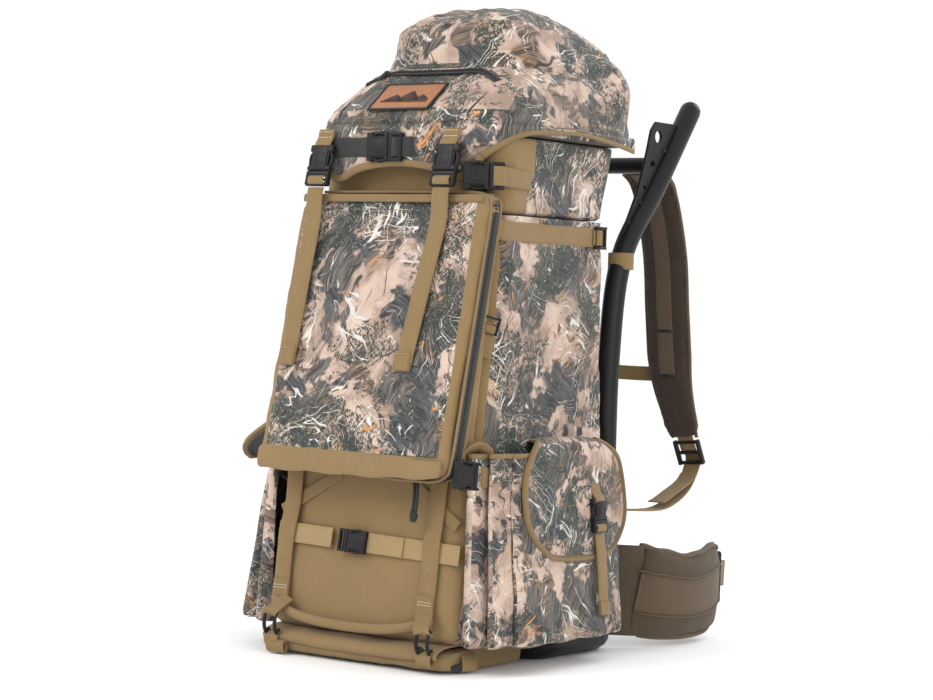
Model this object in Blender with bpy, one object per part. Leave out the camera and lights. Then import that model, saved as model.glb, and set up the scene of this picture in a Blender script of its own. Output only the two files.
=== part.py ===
"""Hunting pack: a soft bag with a lid and pockets on a moulded frame, with its harness and hip belt.

The pack stands upright on its base. +X is the right side seen from the front, the front pocket
faces -Y and the wearer's back is at +Y. The origin lies under the frame's base, on the floor.
"""

from math import cos, pi, radians, sin

import bmesh
import bpy
from mathutils import Matrix, Vector

# Clearances
GAP = 0.0004  # between two pieces that touch
LOOSE = 0.0012  # between a strap and what it lies on

# Bag
BAG_HALF_WIDTH = 0.150
BAG_FLOOR = 0.034  # height of the bag's underside, which is the frame base's thickness
BAG_TOP = 0.560
BAG_BACK = 0.128
FRONT_AT_FLOOR = -0.190
FRONT_AT_TOP = -0.118
BAG_CORNER = 0.026
BAG_WALL = 0.005
COLLAR_HEIGHT = 0.084
COLLAR_INSET = 0.004

# Lid
LID_HALF_WIDTH = BAG_HALF_WIDTH + 0.006
LID_FRONT = FRONT_AT_TOP - 0.017
LID_BACK = BAG_BACK + 0.044
LID_HEIGHT = 0.190
LID_FACE_HEIGHT = 0.078  # the sloping front face below the lid's zip
LID_RIM = 0.014
LID_SLOPE = 0.072  # how far that face leans back
LID_APRON = 0.052
PATCH_HEIGHT = 0.046
PATCH_UP = 0.049  # of its middle, up the lid's face
PATCH_THICKNESS = 0.002
LID_ZIP_UP = 0.096  # of the zip, up the lid's face
APRON_THICKNESS = 0.005
LID_OVER_COLLAR = 0.008
LID_FRONT_CORNER = 0.074
LID_LEVELS = (  # share of its height, half width in front and behind, drawn back, drawn in behind
    (0.00, 0.156, 0.156, 0.000, 0.000),
    (0.07, 0.156, 0.156, 0.000, 0.000),
    (0.24, 0.150, 0.155, 0.030, 0.000),
    (0.46, 0.136, 0.152, 0.068, 0.001),
    (0.51, 0.104, 0.146, 0.080, 0.003),
    (0.66, 0.101, 0.140, 0.084, 0.007),
    (0.80, 0.092, 0.127, 0.095, 0.020),
    (0.90, 0.081, 0.104, 0.110, 0.042),
    (1.00, 0.058, 0.068, 0.138, 0.074),
)

# Front pocket
POCKET_HALF_WIDTH = BAG_HALF_WIDTH - 0.005
POCKET_BOTTOM = 0.236
POCKET_TOP = BAG_TOP + 0.024
POCKET_DEPTH_TOP = 0.030
POCKET_DEPTH_BOTTOM = 0.056

# Side pockets and their flaps
SIDE_POCKET_HEIGHT = 0.232
SIDE_POCKET_FRONT = FRONT_AT_FLOOR + 0.014
SIDE_POCKET_BACK = BAG_BACK - 0.010
SIDE_DEPTH_TOP = 0.036
SIDE_DEPTH_BOTTOM = 0.062
SIDE_WALL = 0.004
FLAP_THICKNESS = 0.004
FLAP_MIDDLE = -0.008
FLAP_WIDTH = 0.220
FLAP_DROP = 0.130
FLAP_ROOT = 0.008  # of its upper edge, from the bag that it hangs on
FLAP_STRAP_OFFSET = 0.042  # of its buckle, to the back of its middle
FLAP_RISE = 0.014  # of the flap's hinge line above the pocket's mouth
LEFT_FLAP_LIFT = 48.0  # degrees that the left flap stands open

# Frame
FRAME_HALF_WIDTH = BAG_HALF_WIDTH - 0.010
RAIL_RADIUS = 0.0145
RAIL_BACK_GAP = 0.006  # between the bag's back and the rails
RAIL_BEND_HEIGHT = BAG_TOP - 0.090
RAIL_TOP_HEIGHT = BAG_TOP + 0.162
RAIL_TOP_BACK = BAG_BACK + 0.205
CROSSBAR_RADIUS = 0.011
CROSSBAR_HEIGHT = BAG_TOP + 0.085
WEB_THICKNESS = 0.004
WEB_REACH = ((-0.015, 0.006), (0.040, 0.020), (0.090, 0.040), (0.140, 0.062))  # above the bag, forward
BASE_HALF_WIDTH = BAG_HALF_WIDTH + 0.013
BASE_FRONT = -0.020
BASE_BACK = BAG_BACK + 0.038
SHELF_HALF_WIDTH = BAG_HALF_WIDTH - 0.008
SHELF_FRONT = FRONT_AT_FLOOR - 0.016
SHELF_HEIGHT = 0.030

# Webbing and buckles
WEBBING = 0.025
WEBBING_THICKNESS = 0.002
BUCKLE_WIDTH = 0.036
BUCKLE_DEPTH = 0.0115
BUCKLE_TILT = 0.24  # how far the lid's buckles lean out, as a slope
SOCKET_LENGTH = 0.034
PRONG_BASE = 0.020
TONGUE = 0.026
SOCKET_WALL = 0.0022
TONGUE_INSET = 0.0036

# Harness
SHOULDER_WIDTH = 0.068
SHOULDER_THICKNESS = 0.014
LOCK_GAP = 0.004  # between a strap lock and what it joins
STERNUM_HEIGHT = 0.360
STERNUM_STANDS_OFF = 0.007  # of its webbing, from the shoulder straps
HIP_THICKNESS = 0.016
HIP_STEPS = 3  # between two points of a wing's route
HIP_HINGE = Vector((BAG_HALF_WIDTH + 0.002, BAG_BACK + 0.058, 0.0))
LUMBAR_THICKNESS = 0.018
LUMBAR_HEIGHT = 0.130
PAD_THICKNESS = 0.010
PAD_LOW = 0.180
PAD_BELOW_BAG_TOP = 0.040

TAN = (0.30, 0.20, 0.085)
CAMO = (0.22, 0.17, 0.12)
BROWN = (0.060, 0.042, 0.024)
BLACK = (0.012, 0.012, 0.013)
LEATHER = (0.22, 0.09, 0.04)


def material(name, colour, roughness):
    made = bpy.data.materials.new(name)
    made.use_nodes = True
    shader = made.node_tree.nodes["Principled BSDF"]
    shader.inputs["Base Color"].default_value = (*colour, 1.0)
    shader.inputs["Roughness"].default_value = roughness
    shader.inputs["Metallic"].default_value = 0.0
    return made


def add(name, shape, colour, roughness=0.9, pivot=(0.0, 0.0, 0.0)):
    """Make an object of a finished shape, with its origin at the pivot, and return it."""
    pivot = Vector(pivot)
    bmesh.ops.translate(shape, verts=shape.verts, vec=-pivot)
    bmesh.ops.recalc_face_normals(shape, faces=shape.faces)
    mesh = bpy.data.meshes.new(name)
    shape.to_mesh(mesh)
    shape.free()
    mesh.shade_smooth()
    mesh.set_sharp_from_angle(angle=radians(35))
    mesh.materials.append(material(name, colour, roughness))
    made = bpy.data.objects.new(name, mesh)
    made.location = pivot
    bpy.context.collection.objects.link(made)
    return made


def loft(rings):
    """A closed solid that is extruded from ring to ring, with a face over each end."""
    shape = bmesh.new()
    face = shape.faces.new([shape.verts.new(point) for point in rings[0]])
    for index, ring in enumerate(rings[1:]):
        grown = bmesh.ops.extrude_face_region(shape, geom=[face])
        if index:
            bmesh.ops.delete(shape, geom=[face], context="FACES_ONLY")
        face = next(item for item in grown["geom"] if isinstance(item, bmesh.types.BMFace))
        for vert, point in zip(face.verts, ring):
            vert.co = point
    return shape


def sleeve(rings):
    """A loft whose two end faces are joined to each other, so that it is a tube with a wall.

    A ring has more than four points, which tells its end faces from the sides between two rings.
    """
    shape = loft(rings)
    caps = [face for face in shape.faces if len(face.verts) == len(rings[0])]
    edges = list({edge for cap in caps for edge in cap.edges})
    bmesh.ops.delete(shape, geom=caps, context="FACES_ONLY")
    bmesh.ops.bridge_loops(shape, edges=edges)
    return shape


def rounded_ring(x_span, y_span, radius, height, steps=3, front_radius=None):
    """Points round a level rectangle with round corners. Those in front may have another radius."""
    (left, right), (front, back) = x_span, y_span
    ahead = front_radius or radius
    corners = (
        (right - radius, back - radius, radius),
        (left + radius, back - radius, radius),
        (left + ahead, front + ahead, ahead),
        (right - ahead, front + ahead, ahead),
    )
    points = []
    for quarter, (x, y, radius) in enumerate(corners):
        for step in range(steps + 1):
            angle = pi / 2 * (quarter + step / steps)
            points.append(Vector((x + radius * cos(angle), y + radius * sin(angle), height)))
    return points


def block(low, high, edge, segments=1):
    """A box between two corners with its edges rounded over."""
    low, high = Vector(low), Vector(high)
    shape = bmesh.new()
    bmesh.ops.create_cube(shape, size=1.0)
    bmesh.ops.scale(shape, verts=shape.verts, vec=high - low)
    bmesh.ops.translate(shape, verts=shape.verts, vec=(low + high) / 2)
    bmesh.ops.bevel(
        shape, geom=shape.edges[:], offset=edge, segments=segments, profile=0.5, affect="EDGES"
    )
    return shape


def tube(path, radius, sides=12, round_end=False):
    """A round bar along a path, with a round end at its last point if asked."""
    rings = []
    for index, point in enumerate(path):
        tangent = (path[min(index + 1, len(path) - 1)] - path[max(index - 1, 0)]).normalized()
        across = Vector((1.0, 0.0, 0.0)) if abs(tangent.x) < 0.9 else Vector((0.0, 1.0, 0.0))
        other = tangent.cross(across).normalized()
        across = other.cross(tangent)
        stretch = [(0.0, 1.0)]
        if round_end and index == len(path) - 1:
            stretch = [(sin(pi / 8 * step), cos(pi / 8 * step)) for step in range(4)]
        for ahead, share in stretch:
            centre = point + tangent * radius * ahead
            rings.append(
                [
                    centre + radius * share * (across * cos(turn) + other * sin(turn))
                    for turn in (2 * pi * side / sides for side in range(sides))
                ]
            )
    return loft(rings)


def band(path, across, widths, thickness, edge=0.0):
    """Webbing or padding along a path: flat, as wide as given at each point, edges rounded if asked."""
    across = Vector(across).normalized()
    half_thick = thickness / 2
    rings = []
    for index, point in enumerate(path):
        tangent = (path[min(index + 1, len(path) - 1)] - path[max(index - 1, 0)]).normalized()
        normal = tangent.cross(across).normalized()
        half = (widths[index] if isinstance(widths, (list, tuple)) else widths) / 2
        corners = [(half, -half_thick), (half, half_thick), (-half, half_thick), (-half, -half_thick)]
        if edge:
            corners = [
                (half, -half_thick + edge),
                (half, half_thick - edge),
                (half - edge, half_thick),
                (-half + edge, half_thick),
                (-half, half_thick - edge),
                (-half, -half_thick + edge),
                (-half + edge, -half_thick),
                (half - edge, -half_thick),
            ]
        rings.append([point + across * side + normal * out for side, out in corners])
    return loft(rings)


def curve_through(points, steps=4):
    """A smooth path through a few points, with each stretch cut into equal steps."""
    ends = [points[0] * 2 - points[1], *points, points[-1] * 2 - points[-2]]
    path = []
    for index in range(1, len(ends) - 2):
        before, start, end, after = ends[index - 1 : index + 3]
        for step in range(steps):
            t = step / steps
            path.append(
                0.5
                * (
                    2 * start
                    + (end - before) * t
                    + (2 * before - 5 * start + 4 * end - after) * t**2
                    + (3 * start - before - 3 * end + after) * t**3
                )
            )
    return [*path, points[-1].copy()]


def place(shape, origin, along, outward):
    """Turn a shape made along Z, with its outer side at +Y, to lie along a direction."""
    along, outward = Vector(along).normalized(), Vector(outward).normalized()
    side = outward.cross(along).normalized()
    outward = along.cross(side)
    turn = Matrix((side, outward, along)).transposed().to_4x4()
    bmesh.ops.transform(shape, matrix=Matrix.Translation(origin) @ turn, verts=shape.verts)
    return shape


def socket_shape(scale=1.0):
    """The hollow half of a side-release buckle. Its mouth is at Z 0 and its back at Y 0."""
    width, depth, length = BUCKLE_WIDTH * scale, BUCKLE_DEPTH * scale, SOCKET_LENGTH * scale
    shape = bmesh.new()
    bmesh.ops.create_cube(shape, size=1.0)
    bmesh.ops.scale(shape, verts=shape.verts, vec=(width, depth, length))
    bmesh.ops.translate(shape, verts=shape.verts, vec=(0.0, depth / 2, -length / 2))
    long_edges = [edge for edge in shape.edges if abs(edge.verts[0].co.z - edge.verts[1].co.z) > length / 2]
    bmesh.ops.bevel(
        shape, geom=long_edges, offset=depth / 4, segments=1, profile=0.5, affect="EDGES"
    )
    mouth = max(shape.faces, key=lambda face: face.calc_center_median().z)
    bmesh.ops.inset_region(shape, faces=[mouth], thickness=SOCKET_WALL * scale, use_even_offset=True)
    grown = bmesh.ops.extrude_face_region(shape, geom=[mouth])
    bmesh.ops.delete(shape, geom=[mouth], context="FACES_ONLY")
    inner = [item for item in grown["geom"] if isinstance(item, bmesh.types.BMVert)]
    bmesh.ops.translate(shape, verts=inner, vec=(0.0, 0.0, -(TONGUE + LOOSE) * scale))
    return shape


def prongs_shape(scale=1.0):
    """The half that clicks in: a base beyond the mouth and a tongue that reaches into the socket."""
    width, depth = BUCKLE_WIDTH * scale, BUCKLE_DEPTH * scale
    base = PRONG_BASE * scale
    shape = bmesh.new()
    bmesh.ops.create_cube(shape, size=1.0)
    bmesh.ops.scale(shape, verts=shape.verts, vec=(width, depth, base))
    bmesh.ops.translate(shape, verts=shape.verts, vec=(0.0, depth / 2, GAP + base / 2))
    inner = min(shape.faces, key=lambda face: face.calc_center_median().z)
    bmesh.ops.inset_region(shape, faces=[inner], thickness=TONGUE_INSET * scale, use_even_offset=True)
    grown = bmesh.ops.extrude_face_region(shape, geom=[inner])
    bmesh.ops.delete(shape, geom=[inner], context="FACES_ONLY")
    tip = [item for item in grown["geom"] if isinstance(item, bmesh.types.BMVert)]
    bmesh.ops.translate(shape, verts=tip, vec=(0.0, 0.0, -(TONGUE * scale + GAP)))
    return shape


def bag_front(height):
    """Where the bag's leaning front face is at a height."""
    share = (height - BAG_FLOOR) / (BAG_TOP - BAG_FLOOR)
    return FRONT_AT_FLOOR + (FRONT_AT_TOP - FRONT_AT_FLOOR) * share


def pocket_front(height):
    """Where the front pocket's face is at a height."""
    share = (height - POCKET_BOTTOM) / (POCKET_TOP - POCKET_BOTTOM)
    depth = POCKET_DEPTH_BOTTOM + (POCKET_DEPTH_TOP - POCKET_DEPTH_BOTTOM) * share
    return bag_front(height) - GAP - depth


FRONT_LEAN = Vector((0.0, FRONT_AT_TOP - FRONT_AT_FLOOR, BAG_TOP - BAG_FLOOR)).normalized()
FRONT_OUT = Vector((0.0, -FRONT_LEAN.z, FRONT_LEAN.y))
COLLAR_TOP = BAG_TOP + GAP + COLLAR_HEIGHT
LID_BOTTOM = COLLAR_TOP + LID_OVER_COLLAR
LID_FACE_LOW = LID_BOTTOM + LID_RIM
LID_FACE_HIGH = LID_FACE_LOW + LID_FACE_HEIGHT
LID_LEAN = Vector((0.0, LID_SLOPE, LID_FACE_HEIGHT)).normalized()
LID_OUT = Vector((0.0, -LID_LEAN.z, LID_LEAN.y))
POCKET_LEAN = Vector(
    (0.0, pocket_front(POCKET_TOP) - pocket_front(POCKET_BOTTOM), POCKET_TOP - POCKET_BOTTOM)
).normalized()
POCKET_OUT = Vector((0.0, -POCKET_LEAN.z, POCKET_LEAN.y))
RAIL_PLACE = BAG_BACK + RAIL_BACK_GAP + RAIL_RADIUS


def on_bag_front(x, height, out):
    return Vector((x, bag_front(height), height)) + FRONT_OUT * out


def on_pocket_front(x, height, out):
    return Vector((x, pocket_front(height), height)) + POCKET_OUT * out


def on_lid_face(x, up, out):
    """A point on the lid's sloping front face, a length up it and a length out from it."""
    return Vector((x, LID_FRONT, LID_FACE_LOW)) + LID_LEAN * up + LID_OUT * out


# --- Bag ---------------------------------------------------------------------------------------


def bag_ring(height, inset, floor=None):
    """A level section through the bag, drawn in from its outer face by a wall."""
    corner = max(BAG_CORNER - inset, BAG_CORNER / 4)
    half = BAG_HALF_WIDTH - inset
    return rounded_ring((-half, half), (bag_front(height) + inset, BAG_BACK - inset), corner, height)


def build_bag():
    floor = BAG_FLOOR + GAP
    inner_floor = floor + BAG_WALL
    outside = [bag_ring(floor, 0.0), bag_ring(BAG_TOP, 0.0)]
    inside = [bag_ring(BAG_TOP, BAG_WALL), bag_ring(inner_floor, BAG_WALL)]
    add("main_bag", loft(outside + inside), CAMO)
    low = BAG_TOP + GAP
    inner = COLLAR_INSET + BAG_WALL

    def level(height, inset):
        return [Vector((point.x, point.y, height)) for point in bag_ring(BAG_TOP, inset)]

    outside = [level(low, COLLAR_INSET), level(COLLAR_TOP, COLLAR_INSET)]
    inside = [level(COLLAR_TOP, inner), level(low, inner)]
    add("collar", sleeve(outside + inside), TAN)


def build_lid():
    """The domed lid with the apron that hangs from its front edge."""
    rings = []
    for share, half_front, half_rear, drawn_back, drawn_in in LID_LEVELS:
        front, back = LID_FRONT + drawn_back, LID_BACK - drawn_in
        corner = min(LID_FRONT_CORNER, half_front * 0.75)
        half = LID_HALF_WIDTH + half_rear - LID_LEVELS[0][2]
        ring = rounded_ring((-half, half), (front, back), 0.020, LID_BOTTOM + LID_HEIGHT * share, 3, corner)
        for point in ring:
            forward = (back - point.y) / (back - front)
            point.x *= 1.0 + (half_front / half_rear - 1.0) * forward
        rings.append(ring)
    lid = add("lid", loft(rings), CAMO, pivot=(0.0, LID_BACK, LID_BOTTOM))
    apron = add(
        "apron_tool",
        block(
            (-LID_HALF_WIDTH + 0.036, LID_FRONT, LID_BOTTOM - LID_APRON),
            (LID_HALF_WIDTH - 0.036, LID_FRONT + APRON_THICKNESS, LID_BOTTOM + LID_RIM / 2),
            0.0012,
        ),
        CAMO,
    )
    apron.hide_render = True
    apron.display_type = "WIRE"
    union = lid.modifiers.new("apron", "BOOLEAN")
    union.operation = "UNION"
    union.solver = "EXACT"
    union.object = apron


def build_front_pocket():
    rings = []
    edge = 0.010
    low, high = POCKET_BOTTOM, POCKET_TOP
    for height, drawn_in in ((low, edge), (low + edge, 0.0), (high - edge, 0.0), (high, edge)):
        rings.append(
            rounded_ring(
                (-POCKET_HALF_WIDTH + drawn_in, POCKET_HALF_WIDTH - drawn_in),
                (pocket_front(height) + drawn_in, bag_front(height) - GAP),
                0.012,
                height,
            )
        )
    add("front_pocket", loft(rings), CAMO)


def build_side_pockets():
    """A bellows pocket on each side: open at the top, deeper at the bottom."""
    low = BAG_FLOOR + GAP
    mouth = BAG_FLOOR + SIDE_POCKET_HEIGHT
    inner = BAG_HALF_WIDTH + GAP

    def ring(side, height, wall, depth):
        spans = sorted((side * (inner + wall), side * (inner + depth - wall)))
        return rounded_ring(spans, (SIDE_POCKET_FRONT + wall, SIDE_POCKET_BACK - wall), 0.008, height, 2)

    for name, side in (("right", 1), ("left", -1)):
        share = SIDE_WALL / SIDE_POCKET_HEIGHT
        floor_depth = SIDE_DEPTH_BOTTOM + (SIDE_DEPTH_TOP - SIDE_DEPTH_BOTTOM) * share
        add(
            f"side_pocket_{name}",
            loft(
                [
                    ring(side, low, 0.0, SIDE_DEPTH_BOTTOM),
                    ring(side, mouth, 0.0, SIDE_DEPTH_TOP),
                    ring(side, mouth, SIDE_WALL, SIDE_DEPTH_TOP),
                    ring(side, low + SIDE_WALL, SIDE_WALL, floor_depth),
                ]
            ),
            CAMO,
        )


def side_face(height):
    """How far out the side pocket's outer face is at a height."""
    mouth = BAG_FLOOR + SIDE_POCKET_HEIGHT
    share = (height - BAG_FLOOR - GAP) / (mouth - BAG_FLOOR - GAP)
    return BAG_HALF_WIDTH + GAP + SIDE_DEPTH_BOTTOM + (SIDE_DEPTH_TOP - SIDE_DEPTH_BOTTOM) * share


def build_flaps():
    """Each side pocket's flap with its buckle and the strap's loose tail, made shut, then lifted."""
    mouth = BAG_FLOOR + SIDE_POCKET_HEIGHT
    hinge_height = mouth + FLAP_RISE
    low = mouth - FLAP_DROP
    lay = LOOSE + FLAP_THICKNESS / 2
    for name, side in (("right", 1), ("left", -1)):
        hinge = Vector((side * (BAG_HALF_WIDTH + GAP), FLAP_MIDDLE, hinge_height))
        lift = Matrix.Identity(4)
        if side < 0:
            turn = Matrix.Rotation(radians(LEFT_FLAP_LIFT), 4, "Y")
            lift = Matrix.Translation(hinge) @ turn @ Matrix.Translation(-hinge)

        def at(out, height):
            return Vector((side * out, FLAP_MIDDLE, height))

        path = [
            at(BAG_HALF_WIDTH + GAP + FLAP_ROOT, hinge_height),
            at(side_face(mouth) - 0.006, hinge_height - 0.002),
            at(side_face(mouth) + lay + 0.002, mouth - 0.002),
            at(side_face(mouth - 0.03) + lay, mouth - 0.03),
            at(side_face(low + 0.02) + lay, low + 0.02),
            at(side_face(low) + lay, low),
        ]
        widths = [share * FLAP_WIDTH for share in (0.62, 0.78, 0.94, 1.0, 1.0, 0.86)]
        flap = band(path, (0.0, 1.0, 0.0), widths, FLAP_THICKNESS)
        down = (path[4] - path[3]).normalized()
        outward = Vector((side, 0.0, side * -down.x / down.z))
        strap_y = FLAP_MIDDLE + FLAP_STRAP_OFFSET
        meet = low + 0.045
        scale = 0.8
        seat = Vector((side * side_face(meet), strap_y, meet)) + outward * (lay + FLAP_THICKNESS / 2 + LOOSE)
        socket = place(socket_shape(scale), seat, down, outward)
        prongs = place(prongs_shape(scale), seat, down, outward)
        pieces = (
            ("side_flap", flap, CAMO, hinge),
            ("flap_socket", socket, BLACK, seat),
            ("flap_prongs", prongs, BLACK, seat),
        )
        for title, shape, colour, pivot in pieces:
            bmesh.ops.transform(shape, matrix=lift, verts=shape.verts)
            add(f"{title}_{name}", shape, colour, pivot=lift @ pivot)
        if side > 0:
            start = seat + down * (PRONG_BASE * scale + 0.003) + outward * 0.004
            tail = [start, start + down * 0.050, start + down * 0.100]
            shape = band(tail, (0.0, 1.0, 0.0), WEBBING * scale, WEBBING_THICKNESS)
            add("flap_strap_right", shape, TAN, pivot=start)


# --- Lid's hardware ----------------------------------------------------------------------------


def build_lid_hardware():
    middle = LID_BOTTOM - 0.010
    strap_y = LID_FRONT - GAP - WEBBING_THICKNESS / 2
    ends = [
        Vector((0.051 - LID_HALF_WIDTH, strap_y, middle)),
        Vector((LID_HALF_WIDTH - 0.095, strap_y, middle)),
    ]
    add("lid_cross_strap", band(ends, (0.0, 0.0, 1.0), WEBBING, WEBBING_THICKNESS), BLACK)
    seat = Vector((-0.010, LID_FRONT - GAP * 2 - WEBBING_THICKNESS, middle))
    outward = Vector((0.0, -1.0, 0.0))
    for title, shape in (("socket", socket_shape()), ("prongs", prongs_shape())):
        add(f"cross_buckle_{title}", place(shape, seat, (1.0, 0.0, 0.0), outward), BLACK, 0.45, seat)
    ends = [on_lid_face(x, PATCH_UP, GAP + PATCH_THICKNESS / 2) for x in (-0.053, 0.037)]
    add("patch", band(ends, LID_LEAN, PATCH_HEIGHT, PATCH_THICKNESS), LEATHER)
    slider = on_lid_face(-0.076, LID_ZIP_UP, GAP)
    body = block((-0.006, 0.0, -0.006), (0.006, 0.0026, 0.006), 0.0006)
    add("lid_zip_slider", place(body, slider, LID_LEAN, LID_OUT), BLACK, 0.4, slider)
    hang = slider + LID_OUT * 0.0050 - LID_LEAN * 0.002
    add(
        "lid_zip_pull",
        band([hang, hang - LID_LEAN * 0.034], (1.0, 0.0, 0.0), 0.006, 0.002),
        BLACK, 0.6, hang,
    )


def build_front_straps():
    """The two lid buckles with the straps that hang over the front pocket."""
    along = Vector((0.0, -BUCKLE_TILT, -1.0)).normalized()
    outward = Vector((0.0, -1.0, BUCKLE_TILT)).normalized()
    places = (("right", POCKET_HALF_WIDTH - 0.061, 0.007), ("left", 0.031 - POCKET_HALF_WIDTH, 0.002))
    for name, x, drift in places:
        seat_y = LID_FRONT - LOOSE * 2 - WEBBING_THICKNESS - BUCKLE_TILT * SOCKET_LENGTH
        seat = Vector((x, seat_y, LID_BOTTOM - 0.042))
        add(f"lid_socket_{name}", place(socket_shape(), seat, along, outward), BLACK, 0.45, seat)
        add(f"lid_prongs_{name}", place(prongs_shape(), seat, along, outward), BLACK, 0.45, seat)
        hang = seat + along * (GAP * 3 + PRONG_BASE + 0.002) + outward * 0.006
        path = [hang]
        for step in range(4):
            height = POCKET_TOP - 0.040 - 0.060 * step
            path.append(on_pocket_front(x - drift * step, height, 0.008 - 0.0015 * step))
        add(
            f"front_strap_{name}",
            band(path, (1.0, 0.0, 0.0), WEBBING, WEBBING_THICKNESS),
            TAN, pivot=hang,
        )


# --- Lower front -------------------------------------------------------------------------------


def build_lower_front():
    low = BAG_FLOOR + 0.030
    high = POCKET_BOTTOM - LOOSE
    vertical = LOOSE * 2 + WEBBING_THICKNESS * 1.5
    for name, x in (("right", POCKET_HALF_WIDTH - 0.041), ("left", 0.021 - POCKET_HALF_WIDTH)):
        ends = [on_bag_front(x, low, vertical), on_bag_front(x, high, vertical)]
        add(f"lower_strap_{name}", band(ends, (1.0, 0.0, 0.0), WEBBING, WEBBING_THICKNESS), TAN)
    height = 0.148
    lay = LOOSE + WEBBING_THICKNESS / 2
    reach = BAG_HALF_WIDTH - 0.012
    ends = [on_bag_front(-reach, height + 0.004, lay), on_bag_front(reach, height - 0.004, lay)]
    add("lower_cross_strap", band(ends, FRONT_LEAN, WEBBING, WEBBING_THICKNESS), TAN)
    seat = on_bag_front(-0.022, height, LOOSE * 2 + WEBBING_THICKNESS)
    along = Vector((-1.0, 0.0, 0.029)).normalized()
    add("lower_buckle_socket", place(socket_shape(0.8), seat, along, FRONT_OUT), BLACK, 0.45, seat)
    add("lower_buckle_prongs", place(prongs_shape(0.8), seat, along, FRONT_OUT), BLACK, 0.45, seat)

    far_corner = (SHELF_HALF_WIDTH, BASE_FRONT - GAP, SHELF_HEIGHT)
    add("load_shelf", block((-SHELF_HALF_WIDTH, SHELF_FRONT, 0.0), far_corner, 0.006, 2), TAN)
    for name, side in (("right", 1), ("left", -1)):
        x = side * (SHELF_HALF_WIDTH - 0.022)
        top = SHELF_HEIGHT + 0.024
        y = SHELF_FRONT - LOOSE
        add(
            f"shelf_hook_{name}",
            block((x - 0.015, y - 0.008, SHELF_HEIGHT - 0.008), (x + 0.015, y, top), 0.0025),
            BLACK, 0.45, (x, y - 0.004, top - 0.004),
        )
    zip_x = 0.088
    zip_y = pocket_front(POCKET_BOTTOM) + 0.024
    slider = Vector((zip_x, zip_y, POCKET_BOTTOM - LOOSE))
    body = block(slider - Vector((0.007, 0.005, 0.006)), slider + Vector((0.007, 0.005, 0.0)), 0.001)
    add("pocket_zip_slider", body, BLACK, 0.4, slider)
    top = slider - Vector((0.0, 0.0, 0.006 + LOOSE * 2))
    add(
        "pocket_zip_pull",
        tube([top, top - Vector((0.0, 0.0, 0.022)), top - Vector((0.0, 0.0, 0.044))], 0.0022, 8),
        BLACK, 0.8, top,
    )


# --- Frame -------------------------------------------------------------------------------------


def rail_path(side):
    x = side * FRAME_HALF_WIDTH
    points = [
        Vector((x, RAIL_PLACE, BAG_FLOOR + GAP)),
        Vector((x, RAIL_PLACE, 0.200)),
        Vector((x, RAIL_PLACE, RAIL_BEND_HEIGHT - 0.090)),
        Vector((x, RAIL_PLACE + 0.022, RAIL_BEND_HEIGHT + 0.045)),
        Vector((x, RAIL_TOP_BACK - 0.085, RAIL_TOP_HEIGHT - 0.110)),
        Vector((x, RAIL_TOP_BACK, RAIL_TOP_HEIGHT)),
    ]
    return curve_through(points, 3)


def rail_at(height):
    """How far back the rails' centre line is at a height on their leaning stretch."""
    path = rail_path(1)
    for low, high in zip(path, path[1:]):
        if low.z <= height <= high.z:
            return low.y + (high.y - low.y) * (height - low.z) / (high.z - low.z)
    return path[-1].y


def build_frame():
    for name, side in (("right", 1), ("left", -1)):
        add(f"frame_rail_{name}", tube(rail_path(side), RAIL_RADIUS, 12, True), BLACK, 0.42)
        x = side * FRAME_HALF_WIDTH
        rings = []
        for above_bag, reach in WEB_REACH:
            height = BAG_TOP + above_bag
            back = rail_at(height) - RAIL_RADIUS * 1.36 - LOOSE
            rings.append(
                [
                    Vector((x + WEB_THICKNESS / 2, back - reach, height)),
                    Vector((x + WEB_THICKNESS / 2, back, height)),
                    Vector((x - WEB_THICKNESS / 2, back, height)),
                    Vector((x - WEB_THICKNESS / 2, back - reach, height)),
                ]
            )
        add(f"frame_web_{name}", loft(rings), BLACK, 0.42)
    reach = FRAME_HALF_WIDTH - RAIL_RADIUS - GAP
    bar_y = rail_at(CROSSBAR_HEIGHT)
    ends = [Vector((-reach, bar_y, CROSSBAR_HEIGHT)), Vector((reach, bar_y, CROSSBAR_HEIGHT))]
    add("crossbar_top", tube(ends, CROSSBAR_RADIUS), BLACK, 0.42)
    add(
        "frame_base",
        block((-BASE_HALF_WIDTH, BASE_FRONT, 0.0), (BASE_HALF_WIDTH, BASE_BACK, BAG_FLOOR), 0.010, 3),
        BLACK, 0.42,
    )
    pad_front = BAG_BACK + RAIL_BACK_GAP
    add(
        "back_panel",
        block(
            (0.002 - reach, pad_front, PAD_LOW),
            (reach - 0.002, pad_front + PAD_THICKNESS, BAG_TOP - PAD_BELOW_BAG_TOP),
            0.004, 2,
        ),
        BROWN,
    )
    lumbar_front = RAIL_PLACE + RAIL_RADIUS + LOOSE
    add(
        "lumbar_pad",
        block(
            (-HIP_HINGE.x + 0.006, lumbar_front, BAG_FLOOR + 0.002),
            (HIP_HINGE.x - 0.006, lumbar_front + LUMBAR_THICKNESS, BAG_FLOOR + 0.002 + LUMBAR_HEIGHT),
            0.006, 2,
        ),
        BROWN,
    )
    for name, side in (("right", 1), ("left", -1)):
        x = side * (BAG_HALF_WIDTH + LOOSE + WEBBING_THICKNESS / 2)
        height = BAG_TOP - 0.020
        ends = [Vector((x, FRONT_AT_TOP + 0.028, height)), Vector((x, BAG_BACK - 0.028, height))]
        add(f"side_strap_{name}", band(ends, (0.0, 0.0, 1.0), WEBBING, WEBBING_THICKNESS), TAN)


# --- Harness -----------------------------------------------------------------------------------


def mirrored(points, side):
    return [Vector((side * point[0], point[1], point[2])) for point in points]


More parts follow.
